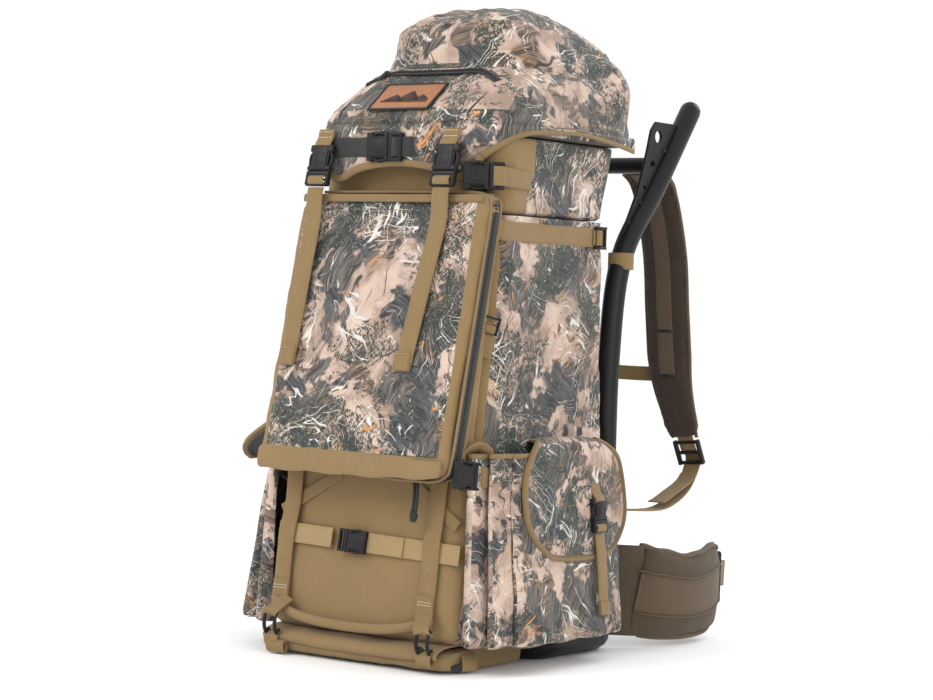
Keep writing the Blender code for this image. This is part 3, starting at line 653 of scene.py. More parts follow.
def place(shape, origin, along, outward):
    """Turns a shape made along Z, with its outer side at +Y, to lie along a direction."""
    along, outward = Vector(along).normalized(), Vector(outward).normalized()
    side = outward.cross(along).normalized()
    outward = along.cross(side)
    turn = Matrix((side, outward, along)).transposed().to_4x4()
    bmesh.ops.transform(shape, matrix=Matrix.Translation(Vector(origin)) @ turn, verts=shape.verts)
    return shape


def wrinkle(shape, amount, size=0.05, seed=0.0, stretch=(1.0, 1.0, 1.0), keep=None):
    """Moves each point along its normal by smooth noise. keep(point) is a share from 0 to 1."""
    shape.normal_update()
    moves = []
    for vert in shape.verts:
        at = Vector(
            part * scale for part, scale in zip(vert.co, stretch)
        ) / size + Vector((seed, seed * 2.0, seed * 3.0))
        share = keep(vert.co) if keep else 1.0
        moves.append(vert.normal * noise.fractal(at, 1.0, 2.0, 3) * amount * share)
    for vert, move in zip(shape.verts, moves):
        vert.co += move
    return shape


def stitches(path, outward, length=0.003, gap=0.0013, radius=0.00042):
    """A row of thread stitches that lie on a surface along a path."""
    path = [Vector(point) for point in path]
    spans = [(end - start).length for start, end in zip(path, path[1:])]
    total, made = sum(spans), []

    def at(distance):
        for start, end, span in zip(path, path[1:], spans):
            if distance <= span:
                return start.lerp(end, distance / span if span else 0.0)
            distance -= span
        return path[-1]

    count = max(1, int(total / (length + gap)))
    pitch = total / count
    for index in range(count):
        begin, end = at(index * pitch + gap / 2), at((index + 1) * pitch - gap / 2)
        lift = Vector(outward(begin) if callable(outward) else outward).normalized() * radius * 0.6
        made.append(tube([begin, begin.lerp(end, 0.5) + lift, end], radius, 5, side_hint=lift.normalized()))
    return merge(made)


print("helpers are ready")
# %% [markdown]
# ## Sizes taken from the frame
# The soft pieces are fitted to the hard ones by asking the frame where each solid is. The
# bag's front leans, so two heights are enough to say where the front is at any height.

# %% Sizes taken from the frame
bag_low, bag_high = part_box("main_bag")
collar_low, collar_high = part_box("collar")
lid_low, lid_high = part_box("lid")
pocket_low, pocket_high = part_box("front_pocket")

BAG_HALF = bag_high.x
BAG_BACK = bag_high.y
BAG_FLOOR, BAG_TOP = bag_low.z, bag_high.z
FRONT_LOW, FRONT_HIGH = bag_low.y, collar_low.y - 0.004
COLLAR_TOP = collar_high.z
LID_FRONT, LID_BACK = lid_low.y, lid_high.y
LID_BOTTOM = COLLAR_TOP + 0.008
LID_TOP = lid_high.z
POCKET_HALF = pocket_high.x
POCKET_BOTTOM, POCKET_TOP = pocket_low.z, pocket_high.z
WEBBING = 0.025


def bag_front(height):
    share = (height - BAG_FLOOR) / (BAG_TOP - BAG_FLOOR)
    return FRONT_LOW + (FRONT_HIGH - FRONT_LOW) * share


def pocket_front(height):
    share = (height - POCKET_BOTTOM) / (POCKET_TOP - POCKET_BOTTOM)
    return bag_front(height) - 0.056 + 0.026 * share


FRONT_LEAN = Vector((0.0, FRONT_HIGH - FRONT_LOW, BAG_TOP - BAG_FLOOR)).normalized()
FRONT_OUT = Vector((0.0, -FRONT_LEAN.z, FRONT_LEAN.y))
POCKET_LEAN = Vector(
    (0.0, pocket_front(POCKET_TOP) - pocket_front(POCKET_BOTTOM), POCKET_TOP - POCKET_BOTTOM)
).normalized()
POCKET_OUT = Vector((0.0, -POCKET_LEAN.z, POCKET_LEAN.y))


def on_front(x, height, out=0.0):
    return Vector((x, bag_front(height), height)) + FRONT_OUT * out


def on_pocket(x, height, out=0.0):
    return Vector((x, pocket_front(height), height)) + POCKET_OUT * out


print("bag", BAG_HALF, FRONT_LOW, FRONT_HIGH, "lid", LID_BOTTOM, LID_TOP)

# %% [markdown]
# ## The main bag
# The bag is a tall sack of printed cloth with a plain tan front panel. It is sewn from
# flat panels, so its corners are soft and its sides billow between the straps that hold
# them. A loft of rounded rings gives the sack, each ring swollen or drawn in, and
# noise that is stretched up and down gives the long slack folds.

# %% Main bag
SIDE_STRAP_HEIGHT = BAG_TOP - 0.02


def swell(height):
    """How far the bag's sides stand out at a height: drawn in under the side strap, slack between."""
    share = (height - BAG_FLOOR) / (BAG_TOP - BAG_FLOOR)
    pinch = max(0.0, 1.0 - abs(height - SIDE_STRAP_HEIGHT) / 0.045)
    return 0.004 * sin(pi * min(1.0, max(0.0, share * 1.08))) - 0.01 * pinch**2


def sack_ring(height, inset=0.0, corner=0.03):
    grow = swell(height) - inset
    half = BAG_HALF + grow
    return rounded_ring(
        (-half, half), (bag_front(height) + inset, BAG_BACK - inset), max(corner - inset, 0.01), height, 5,
        9
    )


def build_bag():
    count = 64
    heights = [BAG_FLOOR + (BAG_TOP - BAG_FLOOR) * step / count for step in range(count + 1)]
    outside = [sack_ring(heights[0], 0.012)] + [sack_ring(height) for height in heights[1:]]
    inside = [sack_ring(height, 0.014) for height in (BAG_TOP, 0.45, 0.3, 0.15, BAG_FLOOR + 0.006)]
    shape = loft(outside + inside)

    def slack(point):
        outer = 1.0 if max(abs(point.x) - BAG_HALF + 0.012, bag_front(point.z) - point.y + 0.003) > 0 else 0.0
        top = min(1.0, max(0.0, (BAG_TOP - point.z) / 0.02))
        front = 0.35 if point.y < bag_front(point.z) + 0.02 else 1.0
        return outer * top * front

    wrinkle(shape, 0.006, 0.085, 3.0, (1.0, 1.0, 0.38), slack)
    wrinkle(shape, 0.0022, 0.03, 8.0, (1.0, 1.0, 0.7), slack)
    for face in shape.faces:
        centre = face.calc_center_median()
        printed = centre.y > bag_front(centre.z) + 0.0165 and abs(centre.x) > BAG_HALF - 0.03
        face.material_index = 0 if printed else 1
    return finish_piece(
        "bag_shell", shape, [WOODLAND, TAN_CLOTH], "pack", ["main_bag"], 60
    )


bag = build_bag()
print("main bag", len(bag.data.polygons), "faces")

# %% [markdown]
# ## The collar
# Above the sack a thin collar gathers the load under the lid. It is soft and unlined, so
# it falls in upright folds. Seen from the side the front half is tan and the rear printed.

# %% Collar


def build_collar():
    low, high = BAG_TOP - 0.002, COLLAR_TOP + 0.014

    def level(height, inset, wave):
        lean = 0.026 * (height - low) / (high - low)
        ring = rounded_ring(
            (-BAG_HALF + inset, BAG_HALF - inset), (FRONT_HIGH + inset, BAG_BACK - inset + lean), 0.028,
            height, 6, 16
        )
        middle = Vector((0.0, (FRONT_HIGH + BAG_BACK) / 2, height))
        folded = []
        for point in ring:
            out = (point - middle).normalized()
            at = noise.fractal(Vector((point.x * 26.0, point.y * 26.0, height * 5.0)), 1.0, 2.0, 2)
            folded.append(point + out * at * wave)
        return folded

    steps = 12
    outside = [
        level(low + (high - low) * step / steps, 0.004, 0.0035 * sin(pi * step / steps) + 0.001)
        for step in range(steps + 1)
    ]
    inside = [
        level(low + (high - low) * step / steps, 0.0075, 0.0035 * sin(pi * step / steps) + 0.001)
        for step in (12, 6, 0)
    ]
    shape = loft(outside + inside)
    for face in shape.faces:
        centre = face.calc_center_median()
        rear = BAG_BACK + 0.026 * (centre.z - BAG_TOP) / (COLLAR_TOP + 0.014 - BAG_TOP)
        face.material_index = 1 if centre.y < FRONT_HIGH + 0.24 * (rear - FRONT_HIGH) else 0
    return finish_piece(
        "collar_cloth", shape, [WOODLAND, TAN_CLOTH], "pack", ["collar"], 180,
        levels=1
    )


build_collar()

# %% [markdown]
# ## The lid
# The lid is a padded box of printed cloth: a rim, a short front face that leans back to the
# zip, and a slack dome above it. Each level is a rounded ring, and the rings come closer
# together where the cloth turns. An apron hangs from the front and sides, and its tan
# binding rises over the side so that the buckle beneath it can be reached.

# %% Lid dome
LID_LEVELS = [  # height, half width in front and behind, drawn back in front, in behind, corners
    (0.0075, 0.14, 0.146, 0.014, 0.014, 0.066, 0.03),
    (0.009, 0.153, 0.158, 0.002, 0.002, 0.072, 0.036),
    (0.015, 0.156, 0.161, 0.0, 0.0, 0.074, 0.038),
    (0.026, 0.157, 0.162, -0.002, 0.0, 0.076, 0.038),
    (0.037, 0.156, 0.161, 0.005, 0.0, 0.078, 0.038),
    (0.049, 0.152, 0.163, 0.019, 0.0, 0.08, 0.038),
    (0.063, 0.146, 0.164, 0.036, -0.001, 0.082, 0.038),
    (0.077, 0.138, 0.164, 0.053, -0.001, 0.082, 0.038),
    (0.086, 0.126, 0.162, 0.066, 0.0, 0.08, 0.038),
    (0.091, 0.116, 0.161, 0.072, 0.001, 0.08, 0.038),
    (0.097, 0.11, 0.159, 0.077, 0.003, 0.078, 0.038),
    (0.109, 0.107, 0.154, 0.079, 0.009, 0.076, 0.04),
    (0.128, 0.104, 0.139, 0.081, 0.024, 0.07, 0.042),
    (0.145, 0.099, 0.122, 0.085, 0.045, 0.062, 0.044),
    (0.158, 0.09, 0.106, 0.093, 0.065, 0.054, 0.044),
    (0.1665, 0.078, 0.09, 0.104, 0.083, 0.046, 0.042),
    (0.172, 0.062, 0.071, 0.118, 0.098, 0.036, 0.036),
    (0.1755, 0.043, 0.05, 0.134, 0.111, 0.026, 0.026),
    (0.177, 0.023, 0.028, 0.149, 0.121, 0.015, 0.015),
]
ZIP_UP = 0.091


def blend_levels(levels, steps):
    """More levels between the given ones."""
    rows = []
    for index in range(len(levels) - 1):
        for step in range(steps):
            rows.append([a + (b - a) * step / steps for a, b in zip(levels[index], levels[index + 1])])
    return rows + [list(levels[-1])]


def lid_at(up):
    """The level at a height above the lid's lower edge."""
    for low, high in zip(LID_LEVELS, LID_LEVELS[1:]):
        if up <= high[0]:
            share = max(0.0, (up - low[0]) / (high[0] - low[0]))
            return [a + (b - a) * share for a, b in zip(low, high)]
    return list(LID_LEVELS[-1])


def lid_front_point(x, up):
    _, half, _, drawn_back, _, corner, _ = lid_at(up)
    beyond = max(0.0, abs(x) - (half - corner))
    drop = corner - sqrt(max(corner * corner - beyond * beyond, 0.0))
    return Vector((x, LID_FRONT + drawn_back + drop, LID_BOTTOM + up))


def lid_axes(x, up):
    """Up the cloth and out from it, at a place on the lid's front."""
    along = (lid_front_point(x, up + 0.006) - lid_front_point(x, up - 0.006)).normalized()
    across = (lid_front_point(x + 0.004, up) - lid_front_point(x - 0.004, up)).normalized()
    return along, across.cross(along).normalized()


def on_lid(x, up, out=0.0):
    return lid_front_point(x, up) + lid_axes(x, up)[1] * out


def build_lid():
    rings = []
    for up, half_front, half_rear, drawn_back, drawn_in, ahead, behind in blend_levels(LID_LEVELS, 3):
        front, back = LID_FRONT + drawn_back, LID_BACK - drawn_in
        ring = rounded_ring((-half_rear, half_rear), (front, back), behind, LID_BOTTOM + up, 7, 12, ahead)
        for point in ring:
            point.x *= 1.0 + (half_front / half_rear - 1.0) * (back - point.y) / (back - front)
        rings.append(ring)
    shape = loft(rings)
    top = [face for face in shape.faces if len(face.verts) > 4]
    bmesh.ops.poke(shape, faces=top)

    def loose(point):
        above = min(1.0, max(0.0, (point.z - LID_BOTTOM - ZIP_UP - 0.006) / 0.03))
        side = min(1.0, max(0.0, (abs(point.x) - 0.11) / 0.03)) * min(
            1.0, max(0.0, (point.z - LID_BOTTOM - 0.02) / 0.02)
        )
        return max(above, side * 0.45)

    wrinkle(shape, 0.0095, 0.105, 2.0, (1.0, 0.9, 1.5), loose)
    wrinkle(shape, 0.0042, 0.042, 5.0, (1.3, 0.8, 1.2), loose)
    return shape


lid_shape = build_lid()
for face in lid_shape.faces:
    face.material_index = 1 if face.calc_center_median().z < LID_BOTTOM + 0.009 else 0
finish_piece("lid_dome", lid_shape, [WOODLAND, DARK_CLOTH], "lid", ["lid"], 180)

# %% [markdown]
# Loose panels such as the lid's skirt are grids: the grid's two directions are laid along
# the cloth's length and drop, and a Solidify modifier gives the cloth its thickness. The
# raw edge is covered by binding, which is a squashed tube along the same edge.

# %% Skirt, binding and seams


def cloth_grid(columns, rows, at):
    """A grid whose points are placed by at(u, v), with both going from 0 to 1."""
    shape = bmesh.new()
    bmesh.ops.create_grid(shape, x_segments=columns, y_segments=rows, size=0.5)
    for vert in shape.verts:
        vert.co = at(vert.co.x + 0.5, vert.co.y + 0.5)
    return shape


SKIRT_TOP = LID_BOTTOM + 0.02
skirt_plan = curve_through(
    [(-0.16, 0.16, 0.656), (-0.1612, 0.1, 0.664), (-0.1612, 0.03, 0.67), (-0.159, -0.03, 0.666)]
    + [(-0.152, -0.088, 0.65), (-0.128, -0.1215, 0.622), (-0.098, -0.135, 0.603), (-0.057, -0.1385, 0.617)]
    + [(0.0, -0.139, 0.623), (0.06, -0.1388, 0.6165), (0.098, -0.135, 0.606), (0.124, -0.124, 0.634)]
    + [(0.152, -0.088, 0.661), (0.159, -0.03, 0.668), (0.1612, 0.03, 0.6705), (0.1612, 0.1, 0.665)]
    + [(0.1605, 0.158, 0.657)],
    8,
)


def skirt_at(u, v):
    spot = u * (len(skirt_plan) - 1)
    low = skirt_plan[int(spot)].lerp(skirt_plan[min(int(spot) + 1, len(skirt_plan) - 1)], spot - int(spot))
    drop = low.z + (SKIRT_TOP - low.z) * v
    out = Vector((low.x, low.y - 0.015, 0.0)).normalized() * 0.0016 * sin(pi * v)
    return Vector((low.x, low.y, drop)) + out


skirt = cloth_grid(140, 6, skirt_at)
finish_piece("lid_skirt", skirt, WOODLAND, "lid", sharp=180, wall=0.0016)
front_edge = [point for point in skirt_plan if point.y < -0.125]
side_edges = [
    [point for point in skirt_plan if point.y >= -0.128 and point.x * side > 0.1] for side in (1, -1)
]
bindings = [tube(edge, 0.0052, 8, side_hint=(0, 0, 1), flat=0.42) for edge in [front_edge, *side_edges]]
finish_piece("lid_binding", merge(bindings), BINDING, "lid", sharp=180)

seams = []
for side in (1, -1):
    route = [on_lid(side * (0.1 + 0.0006 * step), 0.022 + 0.0075 * step, 0.0004) for step in range(8)]
    seams.append(tube(curve_through(route, 3), 0.001, 6))
finish_piece("lid_seams", merge(seams), BLACK_THREAD, "lid", sharp=180)

# %% [markdown]
# A coil zip is two dark tapes with a row of small nylon loops between them. At arm's length
# the loops read as a beaded cord, so each tooth is a short rounded bar laid across the tape.

# %% Zips


def zip_line(path, outward, across, width=0.013, tooth=0.0042):
    """A zip's tape and teeth along a path."""
    path = [Vector(point) for point in path]
    parts = [strap(path, across, width, 0.0012)]
    total = sum((end - start).length for start, end in zip(path, path[1:]))
    count, walked, index = int(total / tooth), 0.0, 0
    for tooth_number in range(count):
        wanted = (tooth_number + 0.5) * total / count
        while index < len(path) - 2 and walked + (path[index + 1] - path[index]).length < wanted:
            walked += (path[index + 1] - path[index]).length
            index += 1
        start, end = path[index], path[index + 1]
        spot = start.lerp(end, (wanted - walked) / max((end - start).length, 1e-6))
        side = Vector(across[index] if isinstance(across, list) else across).normalized()
        out = Vector(outward[index] if isinstance(outward, list) else outward).normalized()
        bar = block((-0.0011, 0.0, -0.0028), (0.0011, 0.0018, 0.0028), 0.0006, 1)
        parts.append(place(bar, spot + out * 0.0004, side, out))
    return merge(parts)


def zip_place(x, up=0.0, out=0.003):
    """A place on the lid's zip, whose two ends dip."""
    return x, ZIP_UP - 0.002 - 0.016 * max(0.0, (abs(x) - 0.062) / 0.042) ** 1.5 + up, out


zip_reach = [-0.104 + 0.206 * step / 32 for step in range(33)]
zip_axes = [lid_axes(*zip_place(x)[:2]) for x in zip_reach]
lid_zip_path = [on_lid(*zip_place(x)) for x in zip_reach]
lid_zip = zip_line(lid_zip_path, [out for _, out in zip_axes], [along for along, _ in zip_axes], 0.012)
finish_piece("lid_zip", lid_zip, BLACK_WEBBING, "lid", sharp=50)
welt_path = [on_lid(*zip_place(x, 0.0065, 0.0036)) for x in zip_reach]
welt = strap(welt_path, [along for along, _ in zip_axes], 0.013, 0.0026)
finish_piece("lid_zip_welt", welt, WOODLAND, "lid", sharp=180, levels=1)


def zip_slider(origin, along, outward, size=1.0):
    """A slider body with the arched bridge that carries its pull."""
    body = block((-0.0055 * size, 0.0, -0.006 * size), (0.0055 * size, 0.0026, 0.006 * size), 0.0012)
    bridge = tube(
        [
            (0, 0.0022, -0.004), (0, 0.0042, -0.0024), (0, 0.0046, 0.0), (0, 0.0042, 0.0024),
            (0, 0.0022, 0.004)
        ],
        0.0009, 8
    )
    return place(merge([body, bridge]), origin, along, outward)


def knotted_cord(start, steps, radius=0.0015):
    """A doubled pull cord that ends in a knot."""
    start = Vector(start)
    path = curve_through([start + Vector(step) for step in steps], 6)
    side = Vector((1, 0, 0)) * radius * 1.1
    cords = [tube([point + side * sign for point in path], radius, 8, round_end=1) for sign in (1, -1)]
    knot = bmesh.new()
    bmesh.ops.create_icosphere(knot, subdivisions=3, radius=radius * 2.7)
    bmesh.ops.scale(knot, verts=knot.verts, vec=(1.0, 0.9, 1.35))
    bmesh.ops.translate(knot, verts=knot.verts, vec=path[-3])
    return merge([*cords, wrinkle(knot, radius * 0.8, 0.004)])


zip_spot = on_lid(*zip_place(-0.076))
zip_out = lid_axes(*zip_place(-0.076)[:2])[1]
finish_piece(
    "lid_slider", zip_slider(zip_spot, (1, 0, 0), zip_out), BUCKLE_PLASTIC, "lid_zip_slider",
    ["lid_zip_slider"]
)
pull_start = zip_spot + zip_out * 0.005
finish_piece(
    "lid_pull",
    knotted_cord(
        pull_start, [(0, 0, 0), (-0.004, -0.006, -0.008), (-0.012, -0.006, -0.018), (-0.018, -0.001, -0.03)]
    ),
    BLACK_WEBBING, "lid_zip_pull", ["lid_zip_pull"], 180,
)

# %% [markdown]
# ## The patch
# A small badge of brown leather is sewn to the lid's face. It has a merrowed black edge
# and a burnt drawing of hills, which is invented.

# %% Leather patch
leather = Finish("patch_leather", (0.33, 0.135, 0.055), 0.55)
grain = leather.noise(leather.place(), 900.0, 4.0, 0.6)
stain = leather.noise(leather.place(), 60.0, 3.0, 0.6)
leather.set("Base Color", leather.mix(stain * 0.6 + grain * 0.3, (0.42, 0.185, 0.08), (0.2, 0.075, 0.03)))
leather.bump(grain, 0.00018)
burnt = Finish("burnt_leather", (0.04, 0.016, 0.009), 0.7)
burnt.bump(burnt.noise(burnt.place(), 700.0, 3.0), 0.00015)

PATCH_X, PATCH_UP = -0.008, 0.0535
patch_up, patch_out = lid_axes(PATCH_X, PATCH_UP)


def on_patch(x, up, out):
    return on_lid(PATCH_X, PATCH_UP, out) + Vector((1, 0, 0)) * x + patch_up * up


badge = block((-0.047, 0.0, -0.0275), (0.047, 0.002, 0.0275), 0.0009, 2)
place(badge, on_patch(0, 0, 0.001), patch_up, patch_out)
finish_piece("patch_badge", badge, leather.material, "lid", ["patch"])
outline = curve_through(
    [(0.0465, 0.0, 0.0), (0.0465, 0.0235, 0.0), (0.0435, 0.027, 0.0), (0.0, 0.027, 0.0)], 6
)
outline += [Vector((-point.x, point.y, 0.0)) for point in outline[-2::-1]]
outline += [Vector((point.x, -point.y, 0.0)) for point in outline[-2::-1]]
merrow = tube([on_patch(point.x, point.y, 0.0026) for point in outline], 0.0017, 8)
finish_piece("patch_edge", merrow, BLACK_THREAD, "lid", sharp=180)
drawing = []
for centre, width, height in ((-0.018, 0.03, 0.012), (0.004, 0.034, 0.02), (0.024, 0.026, 0.011)):
    hill = [
        on_patch(centre + width * share, height * (1.0 - abs(share) * 2.0) ** 0.8 - 0.008, 0.0032)
        for share in (-0.5, -0.3, -0.1, 0.0, 0.1, 0.3, 0.5)
    ]
    base = [
        on_patch(centre + width * share, -0.0085, 0.0032)
        for share in (-0.5, -0.3, -0.1, 0.0, 0.1, 0.3, 0.5)
    ]
    rise = bmesh.new()
    corners = [[rise.verts.new(point) for point in line] for line in (base, hill)]
    for index in range(6):
        rise.faces.new((corners[0][index], corners[0][index + 1], corners[1][index + 1], corners[1][index]))
    drawing.append(rise)
drawing.append(tube([on_patch(-0.036, -0.0105, 0.003), on_patch(0.036, -0.0115, 0.003)], 0.001, 6))
finish_piece("patch_hills", merge(drawing), burnt.material, "lid", wall=0.0006)

# %% [markdown]
# ## Side-release buckles
# One half of such a buckle is a flat hollow box with a window in each side. The other half
# has two springy arms whose shoulders fill those windows, and a ladder that webbing runs
# through. Both are built lying along Z with the mouth at zero, then turned into place.

# %% Buckles


def buckle_socket(scale=1.0):
    width, depth, length = 0.036, 0.0115, 0.034
    parts = [
        block((-width * 0.32, 0.0004, -length + 0.001), (width * 0.32, depth - 0.0002, -0.0008), 0.0016, 3),
        block((-width * 0.5, 0.001, -0.0062), (width * 0.5, depth - 0.0008, 0.0), 0.0018, 3),
        block((-width * 0.5, 0.001, -length), (width * 0.5, depth - 0.0012, -length + 0.0095), 0.002, 3),
        block(
            (-width * 0.2, depth - 0.001, -length + 0.011), (width * 0.2, depth + 0.0003, -0.008), 0.0006, 2
        ),
    ]
    for side in (-1, 1):
        rail = block((-0.0015, 0.0016, -length + 0.008), (0.0015, depth - 0.002, -0.0055), 0.0007, 2)
        bmesh.ops.translate(rail, verts=rail.verts, vec=(side * width * 0.33, 0.0, 0.0))
        parts.append(rail)
    shape = merge(parts)
    bmesh.ops.scale(shape, verts=shape.verts, vec=(scale, scale, scale))
    return shape


def buckle_prongs(scale=1.0):
    width, depth, base = 0.036, 0.0115, 0.02
    parts = [
        block((-width * 0.5, 0.0012, 0.0006), (width * 0.5, depth - 0.001, 0.0066), 0.0018, 3),
        block((-width * 0.5, 0.0022, base - 0.0046), (width * 0.5, depth - 0.0022, base), 0.0018, 3),
        block((-width * 0.4, 0.003, 0.0095), (width * 0.4, depth - 0.0052, 0.0125), 0.001, 2),
    ]
    for side in (-1, 1):
        rail = block((-0.0021, 0.0016, 0.001), (0.0021, depth - 0.0014, base - 0.001), 0.0011, 2)
        bmesh.ops.translate(rail, verts=rail.verts, vec=(side * (width * 0.5 - 0.0022), 0.0, 0.0))
        arm = [
            (side * 0.015, 0.0056, 0.002), (side * 0.0158, 0.0056, -0.006), (side * 0.0172, 0.0056, -0.013)
        ]
        arm += [(side * 0.0168, 0.0056, -0.02), (side * 0.0142, 0.0056, -0.0235)]
        parts += [rail, tube(curve_through(arm, 4), 0.0023, 10, round_end=1, side_hint=(1, 0, 0), flat=1.35)]
    shape = merge(parts)
    bmesh.ops.scale(shape, verts=shape.verts, vec=(scale, scale, scale))
    return shape


def buckle(name, halves, seat, along, outward, scale):
    """Both halves of a buckle. Each half is (which, body, CAD node)."""
    for which, body, node in halves:
        shape = buckle_socket(scale) if which == "socket" else buckle_prongs(scale)
        place(shape, seat, along, outward)
        finish_piece(f"{name}_{which}_half", shape, BUCKLE_PLASTIC, body, [node], 45)


BUCKLE_TILT = 0.24
LOOSE = 0.0012
cross_height = LID_BOTTOM - 0.01
cross_seat = Vector((-0.01, LID_FRONT - 0.0028, cross_height))
buckle(
    "cross_buckle",
    [("socket", "lid", "cross_buckle_socket"), ("prongs", "cross_buckle_prongs", "cross_buckle_prongs")],
    cross_seat, (1, 0, 0), (0, -1, 0), 1.0
)


def lay(x):
    """Where the black strap lies on the lid's skirt."""
    return Vector((x, LID_FRONT - 0.0055 + 0.0015 * abs(x) / 0.1, cross_height))


right_end = [
    lay(0.09), lay(0.06), lay(0.03), lay(0.018) - Vector((0, 0.003, 0)),
    cross_seat + Vector((0.012, -0.0045, 0))
]
left_end = [
    lay(-0.112), lay(-0.09), lay(-0.06), lay(-0.048) - Vector((0, 0.002, 0)),
    cross_seat + Vector((-0.03, -0.005, 0))
]
black_straps = [strap(curve_through(end, 5), (0, 0, 1), WEBBING, 0.0022) for end in (right_end, left_end)]
loop = [
    cross_seat + Vector((0.0165, -0.0075, 0)), cross_seat + Vector((0.011, -0.0105, 0)),
    cross_seat + Vector((0.0055, -0.0085, 0))
]
black_straps.append(strap(curve_through(loop, 4), (0, 0, 1), WEBBING, 0.002))
finish_piece(
    "lid_cross_webbing", merge(black_straps), BLACK_WEBBING, "lid", ["lid_cross_strap"], 60
)

# %% [markdown]
# ## Lid buckles and their straps
# A tan tab is sewn to the lid above each front buckle and folded round its bar. Below, the
# strap comes out of the ladder with its tail folded over twice and stitched, and hangs
# down over the pocket.

# %% Lid buckles and front straps
down = Vector((0.0, -BUCKLE_TILT, -1.0)).normalized()
outward = Vector((0.0, -1.0, BUCKLE_TILT)).normalized()
for name, x, drift in (("right", 0.084, 0.007), ("left", -0.114, 0.002)):
    seat = Vector((x, LID_FRONT - LOOSE * 2 - 0.002 - BUCKLE_TILT * 0.034, LID_BOTTOM - 0.042))
    halves = [("socket", "lid", f"lid_socket_{name}"), ("prongs", f"lid_prongs_{name}", f"lid_prongs_{name}")]
    buckle(f"lid_buckle_{name}", halves, seat, down, outward, 1.0)
    top = seat - down * 0.034
    tab = [
        Vector((x, LID_FRONT - 0.0045, LID_BOTTOM + 0.013)),
        Vector((x, LID_FRONT - 0.0075, LID_BOTTOM + 0.002))
    ]
    tab += [top + outward * 0.0085 - down * 0.002, top + outward * 0.0072 + down * 0.01]
    tab_path = curve_through(tab, 6)
    rows = []
    for height in (LID_BOTTOM + 0.01, LID_BOTTOM + 0.003):
        row = [
            Vector((x + side * 0.0105, LID_FRONT - 0.0072 - 0.0012 * (height < LID_BOTTOM + 0.006), height))
            for side in (-1, 1)
        ]
        rows.append(stitches(row, (0, -1, 0)))
    finish_piece(
        f"lid_tab_{name}", strap(tab_path, (1, 0, 0), WEBBING, 0.0026), TAN_WEBBING, "lid",
        sharp=60
    )
    finish_piece(f"lid_tab_stitches_{name}", merge(rows), PALE_THREAD, "lid", sharp=180)
    lip = [
        seat + down * 0.019 + outward * 0.004, seat + down * 0.0165 + outward * 0.0098,
        seat + down * 0.0105 + outward * 0.0108
    ]
    lip += [seat + down * 0.007 + outward * 0.0082]
    finish_piece(
        f"lid_strap_loop_{name}", strap(curve_through(lip, 5), (1, 0, 0), WEBBING, 0.002), TAN_WEBBING,
        f"lid_prongs_{name}", sharp=60
    )
    hang = seat + down * 0.022 + outward * 0.0062
    path = [hang, hang + down * 0.01]
    for step in range(4):
        height = POCKET_TOP - 0.04 - 0.06 * step
        path.append(on_pocket(x - drift * step, height, 0.0105 - 0.0008 * step))
    path = curve_through(path, 6)
    tail = strap(path, (1, 0, 0), WEBBING, 0.0021, cup=0.0006)
    fold = strap(
        [
            path[-1] + POCKET_LEAN * 0.024 + POCKET_OUT * 0.002, path[-1] + POCKET_OUT * 0.0024,
            path[-1] - POCKET_LEAN * 0.0006
        ],
        (1, 0, 0), WEBBING * 0.99, 0.0018
    )
    sewn = [
        path[-1] + POCKET_LEAN * 0.02 + POCKET_OUT * 0.0035 + Vector((side * 0.0105, 0, 0))
        for side in (-1, 1)
    ]
    finish_piece(
        f"front_webbing_{name}", merge([tail, fold]), TAN_WEBBING, f"front_strap_{name}",
        [f"front_strap_{name}"], 60
    )
    finish_piece(
        f"front_webbing_stitches_{name}", stitches(sewn, POCKET_OUT), TAN_THREAD, f"front_strap_{name}",
        sharp=180
    )
print("lid done", tally)
# %% [markdown]
# ## The front pocket
# The big flat pocket is a shallow box: a printed face in a tan frame, and tan gussets with
# a heavy zip that runs along the top, down the right side and round under the corner. The
# rings of its loft are close together at both ends, where the cloth turns over the edge.

# %% Front pocket


def build_front_pocket():
    profile = ((0.0, 0.016), (0.0015, 0.007), (0.005, 0.002), (0.01, 0.0), (0.02, -0.002))
    span = POCKET_TOP - POCKET_BOTTOM
    middle = [(0.02 + (span - 0.04) * step / 44, -0.002) for step in range(1, 45)]
    levels = [*profile, *middle, *[(span - rise, inset) for rise, inset in profile[::-1]]]
    rings = []
    for rise, inset in levels:
        height = POCKET_BOTTOM + rise
        ring = rounded_ring(
            (-POCKET_HALF + inset, POCKET_HALF - inset),
            (pocket_front(height) + inset, bag_front(height) + 0.004), 0.013, height, 5, 22
        )
        for point in ring:
            if point.y < pocket_front(height) + inset + 0.001:
                share = max(0.0, 1.0 - (point.x / POCKET_HALF) ** 2)
                point.y -= 0.003 * share * sin(pi * rise / span)
        rings.append(ring)
    shape = loft(rings)

    def slack(point):
        return 1.0 if point.y < bag_front(point.z) - 0.01 else 0.2

    wrinkle(shape, 0.0042, 0.075, 12.0, (1.0, 1.0, 0.6), slack)
    wrinkle(shape, 0.0016, 0.026, 14.0, (1.0, 1.0, 0.8), slack)
    for face in shape.faces:
        centre = face.calc_center_median()
        in_frame = abs(centre.x) < POCKET_HALF - 0.0145 and POCKET_BOTTOM + 0.026 < centre.z < POCKET_TOP - 0.01
        face.material_index = 0 if in_frame and centre.y < pocket_front(centre.z) + 0.006 else 1
    finish_piece(
        "pocket_shell", shape, [WOODLAND, TAN_CLOTH], "pack", ["front_pocket"], 60
    )


